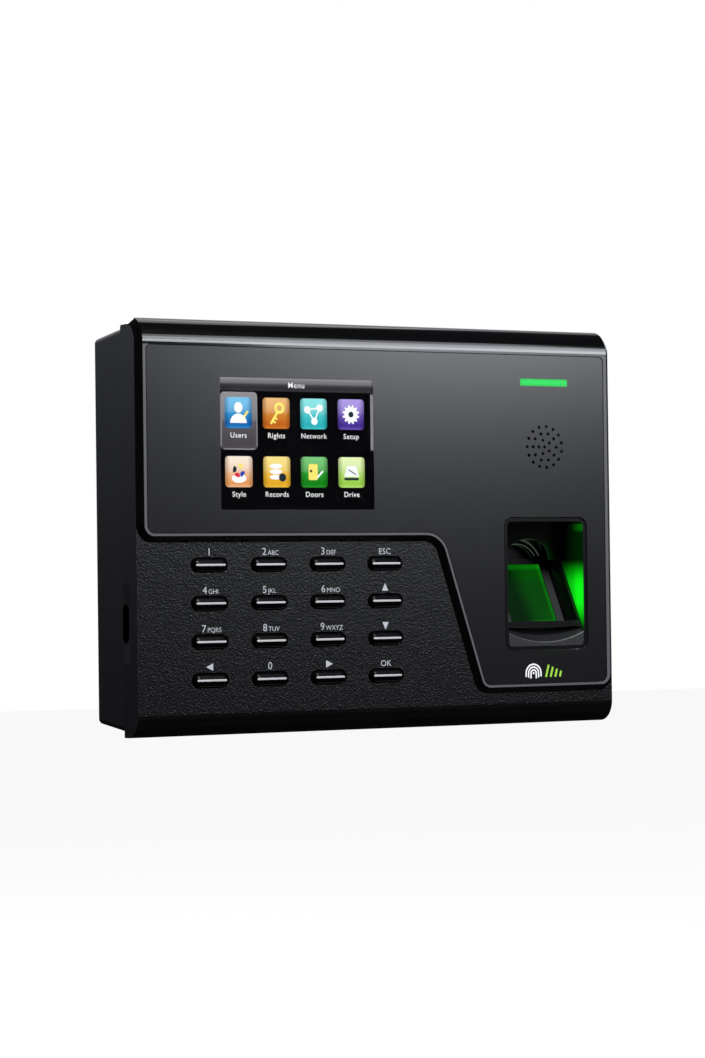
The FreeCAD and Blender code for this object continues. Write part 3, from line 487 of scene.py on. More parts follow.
@dataclass(frozen=True)
class CircuitBoard:
    """Solder mask over copper tracks, with bright pads between them."""

    name: str = "solder_mask_board"
    mask: Colour = srgb(18, 74, 44)
    copper: Colour = srgb(44, 110, 66)

    def build(self) -> bpy.types.Material:
        """Make the material.

        Returns:
            The new material.
        """
        g = Graph(self.name)
        flat = g.node("Mapping", Vector=g.place, Rotation=(math.pi / 2, 0, 0))
        tracks = g.node("TexBrick", "Fac", {"offset": 0.37}, Vector=flat, Scale=140.0, Mortar_Size=0.06)
        pads = g.node("TexVoronoi", "Distance", Vector=g.place, Scale=1 / (3.1 * MM), Randomness=0.55)
        pad = g.step(pads, 0.17, 0.13)
        colour = g.mix(tracks, self.mask, self.copper)
        g.set(Base_Color=g.mix(pad, colour, (0.55, 0.52, 0.42)), Roughness=g.blend(pad, 0.32, 0.38),
              Metallic=g.math("MULTIPLY", pad, 0.8), Coat_Weight=0.25, Coat_Roughness=0.15)
        g.bump(g.either(pad, g.math("MULTIPLY", tracks, 0.5)), 0.03 * MM)
        return g.material


@dataclass(frozen=True)
class Glow:
    """An evenly lit print or lamp."""

    name: str
    colour: Colour
    strength: float = 1.0
    body: Optional[Colour] = None

    def build(self) -> bpy.types.Material:
        """Make the material; a slight unevenness keeps it from being one flat value.

        Returns:
            The new material.
        """
        g = Graph(self.name)
        grain = g.noise(1.2 * MM, 1.0)
        g.set(Base_Color=self.body or shade(self.colour, 0.2), Roughness=0.45, Specular_IOR_Level=0.0,
              Emission_Color=g.mix(grain, self.colour, shade(self.colour, 1.08)),
              Emission_Strength=self.strength)
        return g.material


@dataclass(frozen=True)
class ShadedGlow:
    """A lit tile that fades from one colour at its foot to another at its top, with a glassy upper half."""

    name: str
    low: Colour
    high: Colour
    foot_z: float
    top_z: float
    middle_x: float = 0.0
    half_x: float = 1.0
    side_shade: float = 0.55

    def build(self) -> bpy.types.Material:
        """Make the material.

        Returns:
            The new material.
        """
        g = Graph(self.name)
        z = g.axis("Z")
        rise = g.step(z, self.foot_z, self.top_z)
        middle = self.foot_z + (self.top_z - self.foot_z) * 0.5
        sheen = g.both(g.step(z, middle - 0.3 * MM, middle + 0.3 * MM), g.step(z, self.foot_z, self.top_z))
        base = g.mix(rise, self.low, self.high)
        lit = g.mix(g.math("MULTIPLY", sheen, 0.16), base, (1.0, 1.0, 1.0))
        foot = g.step(z, self.foot_z + 1.6 * MM, self.foot_z)
        lit = g.mix(g.math("MULTIPLY", foot, 0.3), lit, self.high)
        off = g.math("ABSOLUTE", g.math("SUBTRACT", g.axis("X"), self.middle_x))
        side = g.math("MULTIPLY", g.step(off, self.half_x * 0.6, self.half_x), self.side_shade)
        lit = g.mix(side, lit, shade(self.low, 0.3))
        g.set(Base_Color=(0.01, 0.01, 0.01), Roughness=0.4, Specular_IOR_Level=0.0, Emission_Color=lit,
              Emission_Strength=1.0)
        return g.material


@dataclass(frozen=True)
class WellLiner:
    """Polished black liner of the finger well, with the sensor's green light lying on its right wall."""

    name: str = "well_liner_polished"
    middle_x: float = 0.0
    foot_z: float = 0.0
    arch_z: float = 0.0
    wall_x: float = 16.0 * MM
    arch_radii: tuple[float, float] = (11.5 * MM, 9.75 * MM)
    green: Colour = srgb(14, 250, 26)

    def build(self) -> bpy.types.Material:
        """Make the material.

        Returns:
            The new material.
        """
        g = Graph(self.name)
        x, z = g.axis("X"), g.axis("Z")
        depth = g.math("SUBTRACT", g.axis("Y"), FACE_Y)
        wall = g.both(g.step(x, self.middle_x + self.wall_x, self.middle_x + self.wall_x + 0.4 * MM),
                      g.step(g.facing("X"), -0.7, -0.95))
        height = g.math("SUBTRACT", z, self.foot_z)
        band = g.both(g.step(height, 33.0 * MM, 22.0 * MM), g.step(height, 5.0 * MM, 18.0 * MM))
        near = g.step(depth, 14.0 * MM, 4.0 * MM)
        top = g.both(g.step(height, 43.0 * MM, 44.5 * MM), g.step(height, 47.5 * MM, 46.0 * MM),
                     g.step(depth, 9.0 * MM, 0.5 * MM))
        haze = g.both(g.step(height, 22.0 * MM, 33.0 * MM), g.step(depth, 15.0 * MM, 2.0 * MM))
        ripple = g.noise(7 * MM, 2.0, (1.0, 1.0, 0.25))
        light = g.math("ADD", g.both(band, g.blend(near, 0.3, 1.0)), g.math("MULTIPLY", top, 0.12))
        light = g.math("ADD", light, g.math("MULTIPLY", haze, 0.014))
        light = g.both(wall, light, g.blend(ripple, 0.55, 1.25))
        glint = self.arch_glint(g, depth)
        peel = g.noise(3 * MM, 1.0)
        g.set(Base_Color=(0.004, 0.004, 0.005), Roughness=0.16,
              Emission_Color=g.mix(g.step(glint, 0.0, 0.02), self.green, (0.42, 0.62, 0.42)),
              Emission_Strength=g.math("ADD", light, glint))
        g.bump(peel, 0.008 * MM)
        return g.material

    def arch_glint(self, g: Graph, depth: bpy.types.NodeSocket) -> bpy.types.NodeSocket:
        """Thin light that the rounded edges of the two fingertip arches catch.

        Args:
            g: the material's graph.
            depth: depth behind the fascia's face.

        Returns:
            How strongly each point glints.
        """
        x = g.math("SUBTRACT", g.axis("X"), self.middle_x)
        z = g.math("SUBTRACT", g.axis("Z"), self.arch_z)
        radius = g.math("SQRT", g.math("ADD", g.math("MULTIPLY", x, x), g.math("MULTIPLY", z, z)))
        lines = [g.step(g.math("ABSOLUTE", g.math("SUBTRACT", radius, r)), 0.32 * MM, 0.1 * MM)
                 for r in self.arch_radii]
        upper = g.step(z, 1.0 * MM, 5.0 * MM)
        inner = g.both(g.step(depth, 9.5 * MM, 11.0 * MM), g.step(g.facing("Y"), -0.5, -0.9))
        return g.math("MULTIPLY", g.both(g.either(*lines), upper, inner), 0.12)


@dataclass(frozen=True)
class LitPrism:
    """Sensor glass, lit green from its right and upper edges, and dark where it looks into the housing."""

    name: str = "prism_glass_lit"
    left_x: float = 0.0
    right_x: float = 0.0
    foot_z: float = 0.0
    top_z: float = 0.0
    green: Colour = srgb(10, 150, 14)

    def build(self) -> bpy.types.Material:
        """Make the material.

        Returns:
            The new material.
        """
        g = Graph(self.name)
        x, z = g.axis("X"), g.axis("Z")
        wide, tall = self.right_x - self.left_x, self.top_z - self.foot_z
        slant = g.math("ADD", x, g.math("MULTIPLY", z, 0.12))
        base = self.left_x + 0.12 * self.foot_z
        band = g.step(slant, base + 0.3 * wide, base + 0.72 * wide)
        upper = g.both(g.step(z, self.foot_z + 0.62 * tall, self.foot_z + 0.8 * tall),
                       g.step(x, self.left_x, self.right_x))
        lip = g.step(z, self.top_z - 2.6 * MM, self.top_z - 1.2 * MM)
        edge = g.step(x, self.right_x - 2.2 * MM, self.right_x - 0.4 * MM)
        foot = g.step(z, self.foot_z + 1.8 * MM, self.foot_z + 0.4 * MM)
        light = g.math("ADD", g.math("MULTIPLY", band, 0.14), g.math("MULTIPLY", upper, 0.08))
        light = g.math("ADD", light, g.math("MULTIPLY", g.either(edge, g.both(foot, band)), 0.28))
        light = g.math("ADD", light, g.math("MULTIPLY", lip, 0.26))
        cloud = g.noise(6 * MM, 2.0)
        light = g.math("MULTIPLY", light, g.blend(cloud, 0.75, 1.2))
        g.set(Base_Color=(0.002, 0.012, 0.003), Roughness=0.08, Specular_IOR_Level=0.12,
              Emission_Color=self.green, Emission_Strength=light)
        return g.material


@dataclass(frozen=True)
class LightBar:
    """Frosted light guide, brightest along its middle."""

    name: str = "light_guide_green"
    middle_z: float = 0.0
    half: float = 1.4 * MM
    colour: Colour = srgb(22, 214, 84)

    def build(self) -> bpy.types.Material:
        """Make the material.

        Returns:
            The new material.
        """
        g = Graph(self.name)
        off = g.math("ABSOLUTE", g.math("SUBTRACT", g.axis("Z"), self.middle_z))
        core = g.step(off, self.half, self.half * 0.3)
        ribs = g.node("TexWave", "Fac", {"bands_direction": "X"}, Vector=g.place, Scale=300.0)
        light = g.math("ADD", g.blend(core, 0.72, 1.05), g.math("MULTIPLY", ribs, 0.05))
        g.set(Base_Color=srgb(6, 50, 16), Roughness=0.35, Specular_IOR_Level=0.2,
              Emission_Color=self.colour, Emission_Strength=light)
        return g.material


# ------------------------------------------------------------------------------------------ flat stencils
class Stencil:
    """Collects flat shapes in the X-Z plane and turns them into thin closed solids facing the viewer."""

    def __init__(self, name: str, front: float, thickness: float = 0.012 * MM) -> None:
        """Start an empty stencil.

        Args:
            name: the piece's name.
            front: y of the printed face.
            thickness: how deep the print is, backwards from that face.
        """
        self.name, self.front, self.thickness = name, front, thickness
        self.bm = bmesh.new()

    def loop(self, points: Sequence[Point]) -> "Stencil":
        """Add one simple outline.

        Args:
            points: its corners, in either order.

        Returns:
            This stencil.
        """
        area = sum(a[0] * b[1] - b[0] * a[1] for a, b in zip(points, list(points[1:]) + [points[0]]))
        ordered = list(points) if area > 0 else list(reversed(points))
        front = [self.bm.verts.new((x, self.front, z)) for x, z in ordered]
        back = [self.bm.verts.new((x, self.front + self.thickness, z)) for x, z in ordered]
        self.bm.faces.new(front)
        self.bm.faces.new(list(reversed(back)))
        for i, v in enumerate(front):
            j = (i + 1) % len(front)
            self.bm.faces.new((v, back[i], back[j], front[j]))
        return self

    def ring(self, centre: Point, outer: float, inner: float, start: float = 0.0, sweep: float = math.tau,
             steps: int = 28) -> "Stencil":
        """Add a ring or an arc of one, as quads between two radii.

        Args:
            centre: its middle.
            outer: the outer radius.
            inner: the inner radius.
            start: angle where the arc starts.
            sweep: how far the arc goes.
            steps: number of quads along it.

        Returns:
            This stencil.
        """
        closed = sweep > math.tau - 1e-6
        count = steps if closed else steps + 1
        angles = [start + sweep * i / steps for i in range(count)]

        def circle(radius: float, y: float) -> list[bmesh.types.BMVert]:
            """One row of points at a radius and depth."""
            return [self.bm.verts.new((centre[0] + radius * math.cos(a), y, centre[1] + radius * math.sin(a)))
                    for a in angles]
        rows = [circle(outer, self.front), circle(outer, self.front + self.thickness),
                circle(inner, self.front + self.thickness), circle(inner, self.front)]
        for i in range(count if closed else count - 1):
            j = (i + 1) % count
            for a, b in zip(rows, rows[1:] + rows[:1]):
                self.bm.faces.new((a[i], b[i], b[j], a[j]))
        if not closed:
            self.bm.faces.new([row[0] for row in rows])
            self.bm.faces.new([row[-1] for row in reversed(rows)])
        return self

    def disc(self, centre: Point, radius: float, steps: int = 24, squash: float = 1.0) -> "Stencil":
        """Add a disc, flattened along Z by squash."""
        return self.loop([(centre[0] + radius * math.cos(math.tau * i / steps),
                           centre[1] + squash * radius * math.sin(math.tau * i / steps))
                          for i in range(steps)])

    def rect(self, low: Point, high: Point, radius: float = 0.0) -> "Stencil":
        """Add a rectangle with rounded corners."""
        return self.loop(rounded_rect(low, high, radius))

    def bar(self, a: Point, b: Point, width: float) -> "Stencil":
        """Add a straight stroke between two points."""
        along = Vector((b[0] - a[0], b[1] - a[1])).normalized() * width / 2
        side = Vector((-along.y, along.x))
        return self.loop([(a[0] + side.x, a[1] + side.y), (a[0] - side.x, a[1] - side.y),
                          (b[0] - side.x, b[1] - side.y), (b[0] + side.x, b[1] + side.y)])

    def done(self, material: bpy.types.Material) -> bpy.types.Object:
        """Finish the mesh, dress it and let it ride on the case."""
        return place(finished(self.bm, self.name), self.name, material)


def rounded_rect(low: Point, high: Point, radius: float, steps: int = 6) -> list[Point]:
    """Corner points of a rounded rectangle.

    Args:
        low: its lower left corner.
        high: its upper right corner.
        radius: radius of its corners, or 0 for square ones.
        steps: number of chords in each corner.

    Returns:
        The outline's points in order.
    """
    if radius <= 0:
        return [low, (high[0], low[1]), high, (low[0], high[1])]
    corners = [(high[0] - radius, high[1] - radius, 0), (low[0] + radius, high[1] - radius, 90),
               (low[0] + radius, low[1] + radius, 180), (high[0] - radius, low[1] + radius, 270)]
    return [(x + radius * math.cos(math.radians(a + 90 * i / steps)),
             z + radius * math.sin(math.radians(a + 90 * i / steps)))
            for x, z, a in corners for i in range(steps + 1)]


def place(mesh: bpy.types.Mesh, name: str, material: bpy.types.Material, body: str = CASE,
          smooth: bool = False) -> bpy.types.Object:
    """Link a finished mesh as a piece that rides on a body.

    Args:
        mesh: geometry in the object's own frame.
        name: the piece's name.
        material: its finish.
        body: the CAD body it rides on.
        smooth: shade its faces smooth.

    Returns:
        The new object.
    """
    mesh.materials.clear()
    mesh.materials.append(material)
    if smooth:
        mesh.polygons.foreach_set("use_smooth", [True] * len(mesh.polygons))
    piece = bpy.data.objects.new(name, mesh)
    bpy.context.scene.collection.objects.link(piece)
    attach(piece, body)
    log.info("piece %s: %d faces on %s", name, len(mesh.polygons), body)
    return piece


class Align(Enum):
    """Which point of a line of text its place names."""

    LEFT = "LEFT"
    CENTRE = "CENTER"


@dataclass(frozen=True)
class Line:
    """One short line of printed text."""

    words: str
    x: float
    z: float
    height: float
    align: Align = Align.CENTRE
    spread: float = 1.0


CAPITAL_SHARE = 0.73   # a capital letter's height over the font size
SAME = 1e-7            # points closer than this are one


def print_lines(name: str, lines: Iterable[Line], front: float, material: bpy.types.Material,
                thickness: float = 0.012 * MM, bolder: float = 0.0) -> bpy.types.Object:
    """Print lines of text as one thin closed piece.

    Args:
        name: the piece's name.
        lines: what to print and where; z is the letters' foot.
        front: y of the printed face.
        material: ink.
        thickness: depth of the print.
        bolder: how much each stroke is fattened.

    Returns:
        The finished piece.
    """
    joined = bmesh.new()
    for line in lines:
        curve = bpy.data.curves.new(name + "_text", "FONT")
        curve.body, curve.align_x = line.words, line.align.value
        curve.size = line.height / CAPITAL_SHARE
        curve.space_character = line.spread
        curve.extrude, curve.offset = thickness / 2, bolder
        curve.resolution_u = 4
        holder = bpy.data.objects.new(name + "_text", curve)
        bpy.context.scene.collection.objects.link(holder)
        bpy.context.view_layer.update()
        graph = bpy.context.evaluated_depsgraph_get()
        mesh = bpy.data.meshes.new_from_object(holder.evaluated_get(graph))
        mesh.transform(Matrix.Translation((line.x, front + thickness / 2, line.z))
                       @ Matrix.Rotation(math.pi / 2, 4, "X"))
        joined.from_mesh(mesh)
        bpy.data.objects.remove(holder)
        bpy.data.meshes.remove(mesh)
        bpy.data.curves.remove(curve)
    bmesh.ops.remove_doubles(joined, verts=joined.verts, dist=SAME)
    return place(finished(joined, name, outwards=False), name, material)


# ------------------------------------------------------------------------------------------ geometry nodes
class Pattern:
    """A geometry node tree that repeats one small shape, with named inputs for its sizes."""

    def __init__(self, name: str, material: bpy.types.Material) -> None:
        """Start a tree.

        Args:
            name: the tree's and later the piece's name.
            material: what Set Material gives the repeated shape.
        """
        self.name, self.material = name, material
        self.tree = bpy.data.node_groups.new(name, "GeometryNodeTree")
        self.tree.interface.new_socket("Geometry", in_out="OUTPUT", socket_type="NodeSocketGeometry")
        self.entry = self.tree.nodes.new("NodeGroupInput")
        self.exit = self.tree.nodes.new("NodeGroupOutput")
        self.values: dict[str, object] = {}

    def size(self, label: str, value: object, kind: str = "Float") -> bpy.types.NodeSocket:
        """Add a named input with the value this piece uses, and return its socket."""
        item = self.tree.interface.new_socket(label, in_out="INPUT", socket_type="NodeSocket" + kind)
        self.values[item.identifier] = value
        return next(s for s in self.entry.outputs if s.identifier == item.identifier)

    def node(self, kind: str, outlet: object = 0, settings: Optional[dict] = None,
             **inputs: object) -> bpy.types.NodeSocket:
        """Add a node and return one of its outputs.

        Args:
            kind: the node's full type.
            outlet: index or name of the output to return.
            settings: properties to set on the node.
            inputs: values or sockets by input name or place.

        Returns:
            The chosen output socket.
        """
        made = self.tree.nodes.new(kind)
        for key, value in (settings or {}).items():
            setattr(made, key, value)
        for key, value in inputs.items():
            socket = socket_of(made, key)
            if isinstance(value, bpy.types.NodeSocket):
                self.tree.links.new(value, socket)
            else:
                socket.default_value = value
        return made.outputs[outlet]

    def line_of(self, count: bpy.types.NodeSocket, start: bpy.types.NodeSocket,
                offset: bpy.types.NodeSocket) -> bpy.types.NodeSocket:
        """Points in a straight row."""
        return self.node("GeometryNodeMeshLine", Count=count, Start_Location=start, Offset=offset)

    def instances(self, points: bpy.types.NodeSocket, shape: bpy.types.NodeSocket,
                  **inputs: object) -> bpy.types.NodeSocket:
        """One copy of a shape on every point."""
        return self.node("GeometryNodeInstanceOnPoints", Points=points, Instance=shape, **inputs)

    def piece(self, geometry: bpy.types.NodeSocket) -> bpy.types.Object:
        """Realize the instances, set their material, and turn the result into a plain mesh piece.

        Args:
            geometry: the last geometry of the tree.

        Returns:
            The finished piece, riding on the case.
        """
        real = self.node("GeometryNodeRealizeInstances", Geometry=geometry)
        dressed = self.node("GeometryNodeSetMaterial", Geometry=real, Material=self.material)
        self.tree.links.new(dressed, self.exit.inputs[0])
        holder = bpy.data.objects.new(self.name + "_maker", bpy.data.meshes.new(self.name + "_seed"))
        bpy.context.scene.collection.objects.link(holder)
        maker = holder.modifiers.new(self.name, "NODES")
        maker.node_group = self.tree
        for identifier, value in self.values.items():
            maker[identifier] = value
        bpy.context.view_layer.update()
        graph = bpy.context.evaluated_depsgraph_get()
        made = bpy.data.meshes.new_from_object(holder.evaluated_get(graph))
        holder.modifiers.remove(maker)
        bpy.data.objects.remove(holder)
        return place(made, self.name, self.material)


# ------------------------------------------------------------------------------------------ sub-assemblies
class SubAssembly(Protocol):
    """A part of the terminal that builds and dresses its own pieces."""

    def build(self) -> None:
        """Build the sub-assembly."""


def dress(finish: Finish, *nodes: str) -> None:
    """Give CAD nodes a finish through their own material slots."""
    material = finish.build()
    for node in nodes:
        slots = frame["nodes"][node].material_slots
        for slot in slots:
            slot.material = material
        log.info("node %s wears %s in %d slots", node, material.name, len(slots))


@dataclass
class Case:
    """Both case halves, the fascia inlay, the wall plate and the screws."""

    rear: Colour = srgb(13, 14, 18)

    def build(self) -> None:
        """Dress the case's CAD nodes."""
        dress(CaseFront(), "front_cover")
        dress(FasciaSheet(), "fascia_panel")
        dress(MouldedPlastic("case_rear_moulding", self.rear, grain=0.3 * MM, relief=0.014 * MM, specular=0.2),
              "rear_cover")
        dress(Metal("zinc_plated_sheet", (0.52, 0.54, 0.56), 0.36, spangle=0.6), "wall_plate")
        dress(Metal("screw_steel", (0.42, 0.42, 0.44), 0.32), "cover_screws", "plate_lock_screw",
              "board_screws", "terminal_screws")


@dataclass
class Legends:
    """Printed characters over the keys."""

    ink: Colour = srgb(176, 179, 187)
    digit: float = 2.75 * MM
    letter: float = 1.75 * MM
    rise: float = 3.45 * MM
    gap: float = 0.25 * MM
    lift: float = 0.03 * MM
    arrow: float = 1.75 * MM
    arrow_rise: float = 1.35 * MM
    step_depth: float = 2.3 * MM
    words: dict[str, tuple[str, str]] = field(default_factory=lambda: {
        "key_1": ("1", ""), "key_2": ("2", "ABC"), "key_3": ("3", "DEF"), "key_esc": ("", "ESC"),
        "key_4": ("4", "GHI"), "key_5": ("5", "JKL"), "key_6": ("6", "MNO"), "key_7": ("7", "PQRS"),
        "key_8": ("8", "TUV"), "key_9": ("9", "WXYZ"), "key_0": ("0", ""), "key_ok": ("", "OK")})
    arrows: dict[str, float] = field(default_factory=lambda: {
        "key_up": 90.0, "key_down": 270.0, "key_left": 180.0, "key_right": 0.0})

    def build(self) -> None:
        """Print digits, letters and arrows."""
        ink = MouldedPlastic("legend_ink", self.ink, 0.55, 0.2 * MM, 0.002 * MM).build()
        front = FACE_Y + self.step_depth - self.lift
        digits, letters = [], []
        for node, (digit, word) in self.words.items():
            x, z = middle_of(node)
            foot = z + self.rise
            if not digit:
                letters.append(Line(word, x, foot, self.digit * 0.82, spread=1.05))
                continue
            reach = 0.62 * self.letter * len(word) / 2
            digits.append(Line(digit, x - reach - (self.gap if word else 0.0), foot, self.digit))
            if word:
                start = x - reach + 0.32 * self.digit + self.gap
                letters.append(Line(word, start, foot, self.letter, Align.LEFT))
        print_lines("key_digits", digits, front, ink)
        print_lines("key_letters", letters, front, ink)
        arrows = Stencil("key_arrows", front)
        for node, turn in self.arrows.items():
            x, z = middle_of(node)
            z += self.rise + self.arrow_rise
            angles = [math.radians(turn + angle) for angle in (0, 130, 230)]
            arrows.loop([(x + self.arrow * math.cos(a), z + self.arrow * math.sin(a)) for a in angles])
        arrows.done(ink)


@dataclass
class Keys:
    """Sixteen glossy bar keys, each with a bright line let into its ridge."""

    line_length: float = 11.9 * MM
    line_width: float = 0.72 * MM
    proud: float = 0.05 * MM
    sunk: float = 0.06 * MM
    crown: float = 0.14 * MM

    def build(self) -> None:
        """Dress the keys and lay a line on each, riding on that key's own body."""
        keys = sorted(j["child"].removesuffix(CAP) for j in frame["joints"] if j["child"].endswith(CAP))
        dress(PolishedPlastic("key_polished_black", srgb(3, 3, 4), 0.26, 0.0, 0.08), *keys)
        silver = MouldedPlastic("key_line_silver", srgb(180, 180, 184), 0.38, 0.2 * MM, 0.002 * MM, 0.6).build()
        for key in keys:
            self.lay(key, silver)

    def lay(self, key: str, material: bpy.types.Material) -> None:
        """Lay one key's line: a round-ended strip with a crowned face.

        Args:
            key: the key's CAD node.
            material: the line's finish.
        """
        x, z = middle_of(key)
        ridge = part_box(key)[0].y
        bm = bmesh.new()
        rows = []
        for inset, depth in ((0.0, self.sunk), (0.0, -self.proud * 0.3), (self.crown, -self.proud)):
            half = (self.line_length / 2 - inset, self.line_width / 2 - inset)
            ring = rounded_rect((x - half[0], z - half[1]), (x + half[0], z + half[1]), half[1] - 10 * SAME, 5)
            rows.append([bm.verts.new((px, ridge + depth, pz)) for px, pz in ring])
        for a, b in zip(rows, rows[1:]):
            for i in range(len(a)):
                j = (i + 1) % len(a)
                bm.faces.new((a[i], a[j], b[j], b[i]))
        bm.faces.new(rows[0])
        bm.faces.new(rows[-1])
        place(finished(bm, key + "_line"), key + "_line", material, key + CAP)


@dataclass
class Display:
    """The lit menu behind the window: title bar, chosen tile, eight icons and their captions."""

    depth: float = 1.2 * MM
    layer: float = 0.02 * MM
    icon: Point = (11.1 * MM, 11.2 * MM)
    columns: tuple[float, ...] = (2.2 * MM, 17.75 * MM, 33.3 * MM, 49.0 * MM)
    rows: tuple[float, ...] = (7.1 * MM, 28.4 * MM)
    captions: tuple[tuple[str, ...], ...] = (
        ("Users", "Rights", "Network", "Setup"), ("Style", "Records", "Doors", "Drive"))
    title: str = "Menu"
    title_size: float = 2.1 * MM
    caption_size: float = 1.95 * MM
    caption_drop: float = 3.4 * MM
    bleed: float = 0.6 * MM
    bolder: float = 0.012 * MM
    colours: tuple[tuple[Colour, Colour], ...] = (
        (srgb(12, 96, 176), srgb(70, 190, 240)), (srgb(196, 92, 8), srgb(240, 176, 70)),
        (srgb(24, 176, 186), srgb(110, 232, 232)), (srgb(58, 30, 140), srgb(160, 130, 230)),
        (srgb(232, 150, 70), srgb(255, 236, 214)), (srgb(232, 168, 16), srgb(255, 226, 96)),
        (srgb(4, 128, 8), srgb(60, 190, 60)), (srgb(150, 208, 60), srgb(232, 250, 170)))

    def __post_init__(self) -> None:
        """Take the window's edges from the CAD window."""
        low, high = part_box("display_window")
        self.left, self.right, self.top, self.bottom = low.x, high.x, high.z, low.z

    def front(self, layer: int) -> float:
        """y of the printed face of a layer; higher layers are nearer the viewer."""
        return FACE_Y + self.depth - layer * self.layer

    def build(self) -> None:
        """Dress the display's own nodes and draw the menu."""
        dress(ClearLens("window_clear"), "display_window")
        dress(PolishedPlastic("panel_black_glass", (0.003, 0.003, 0.004), 0.1), "lcd_panel")
        dress(MouldedPlastic("backlight_white", srgb(214, 214, 208)), "lcd_backlight")
        dress(Metal("tray_bright_steel", (0.62, 0.62, 0.63), 0.28), "lcd_tray")
        black = Glow("menu_black", srgb(4, 4, 6), 1.0, (0.002, 0.002, 0.002)).build()
        base = Stencil("menu_ground", self.front(0))
        base.rect((self.left - self.bleed, self.bottom - self.bleed),
                  (self.right + self.bleed, self.top + self.bleed)).done(black)
        self.bars()
        white = Glow("menu_white", srgb(240, 240, 240)).build()
        lines = [Line(self.title, (self.left + self.right) / 2, self.top - 3.4 * MM, self.title_size,
                      spread=1.12)]
        for row, words in enumerate(self.captions):
            for column, word in enumerate(words):
                x, z = self.corner(row, column)
                lines.append(Line(word, x + self.icon[0] / 2, z - self.icon[1] - self.caption_drop,
                                  self.caption_size, spread=1.1))
        print_lines("menu_words", lines, self.front(4), white, bolder=self.bolder)
        for index, (low, high) in enumerate(self.colours):
            x, z = self.corner(index // 4, index % 4)
            shade = ShadedGlow(f"tile_{index + 1}_light", low, high, z - self.icon[1], z,
                               x + self.icon[0] / 2, self.icon[0] / 2).build()
            tile = Stencil(f"menu_tile_{index + 1}", self.front(3))
            tile.rect((x, z - self.icon[1]), (x + self.icon[0], z), 1.3 * MM).done(shade)
        self.glyphs(white)

    def corner(self, row: int, column: int) -> Point:
        """Top left corner of an icon."""
        return self.left + self.columns[column], self.top - self.rows[row]

    def bars(self) -> None:
        """The title bar, the chosen tile and the slim scroll bar."""
        bar_foot = self.top - 4.7 * MM
        grey = ShadedGlow("menu_bar_light", srgb(10, 10, 12), srgb(92, 92, 96), bar_foot,
                          self.top + 0.4 * MM).build()
        title = Stencil("menu_title_bar", self.front(1))
        title.rect((self.left, bar_foot), (self.right, self.top)).done(grey)
        x, z = self.left + 0.6 * MM, self.top - 5.2 * MM
        tall = 20.8 * MM
        chosen = ShadedGlow("menu_chosen_light", srgb(70, 66, 72), srgb(110, 106, 112), z - tall, z).build()
        tile = Stencil("menu_chosen_tile", self.front(1))
        tile.rect((x, z - tall), (x + 14.9 * MM, z), 1.4 * MM).done(chosen)
        edge = Glow("menu_edge_light", srgb(140, 138, 142)).build()
        outline = Stencil("menu_chosen_edge", self.front(2))
        for side in (z - 0.35 * MM, z - tall):
            outline.rect((x + 1.2 * MM, side), (x + 13.7 * MM, side + 0.35 * MM))
        for side in (x, x + 14.55 * MM):
            outline.rect((side, z - tall + 1.2 * MM), (side + 0.35 * MM, z - 1.2 * MM))
        outline.rect((self.right - 0.6 * MM, self.top - 25.8 * MM), (self.right, self.top - 5.2 * MM))
        outline.rect((self.left, self.top - 0.5 * MM), (self.right, self.top))
        outline.done(edge)

    def glyphs(self, white: bpy.types.Material) -> None:
        """Each icon's own sign, drawn from discs, rings, bars and outlines.

        Args:
            white: the finish of the pale signs.
        """
        pale = Stencil("menu_signs_white", self.front(5))
        gold = Stencil("menu_signs_gold", self.front(5))
        dark = Stencil("menu_signs_dark", self.front(6))
        red, blue = Stencil("menu_signs_red", self.front(6)), Stencil("menu_signs_blue", self.front(6))

        def middle(index: int) -> Point:
            """Middle of an icon."""
            x, z = self.corner(index // 4, index % 4)
            return x + self.icon[0] / 2, z - self.icon[1] / 2
        x, z = middle(0)
        pale.disc((x, z + 1.9 * MM), 1.7 * MM, squash=1.15)
        shoulder = 3.4 * MM
        half_turn = [math.pi * i / 12 for i in range(13)]
        pale.loop([(x + shoulder * math.cos(a), z - 3.7 * MM + shoulder * math.sin(a)) for a in half_turn])
        gold.bar((x + 0.6 * MM, z - 3.6 * MM), (x + 3.9 * MM, z + 0.6 * MM), 0.85 * MM)
        x, z = middle(1)
        gold.ring((x + 1.3 * MM, z + 1.9 * MM), 2.1 * MM, 1.0 * MM)
        gold.bar((x + 0.4 * MM, z + 0.2 * MM), (x - 2.3 * MM, z - 3.9 * MM), 0.9 * MM)
        gold.bar((x - 1.6 * MM, z - 2.7 * MM), (x - 0.3 * MM, z - 3.5 * MM), 0.7 * MM)
        gold.bar((x - 0.8 * MM, z - 1.5 * MM), (x + 0.4 * MM, z - 2.2 * MM), 0.7 * MM)
        x, z = middle(2)
        hubs = [(x + dx * MM, z + dz * MM) for dx, dz in ((-2.6, 1.5), (2.5, 2.2), (0.3, -2.7))]
        for a, b in ((0, 1), (1, 2), (2, 0)):
            pale.bar(hubs[a], hubs[b], 0.6 * MM)
        for hub in hubs:
            pale.disc(hub, 1.35 * MM)
        x, z = middle(3)
        teeth = 12
        points = []
        for i in range(teeth * 4):
            radius = (3.6 if i % 4 in (1, 2) else 2.8) * MM
            angle = math.tau * (i + 0.5) / (teeth * 4)
            points.append((x + radius * math.cos(angle), z + radius * math.sin(angle)))
        pale.loop(points)
        dark.disc((x, z), 1.05 * MM)
        x, z = middle(4)
        pale.disc((x, z - 2.4 * MM), 3.0 * MM, squash=0.55)
        for stencil, start in ((gold, 0.6), (red, 3.8), (blue, 5.0), (dark, 2.4)):
            stencil.ring((x, z + 0.5 * MM), 2.5 * MM, 1.1 * MM, start, 1.1, 8)
        x, z = middle(5)
        for level in range(3):
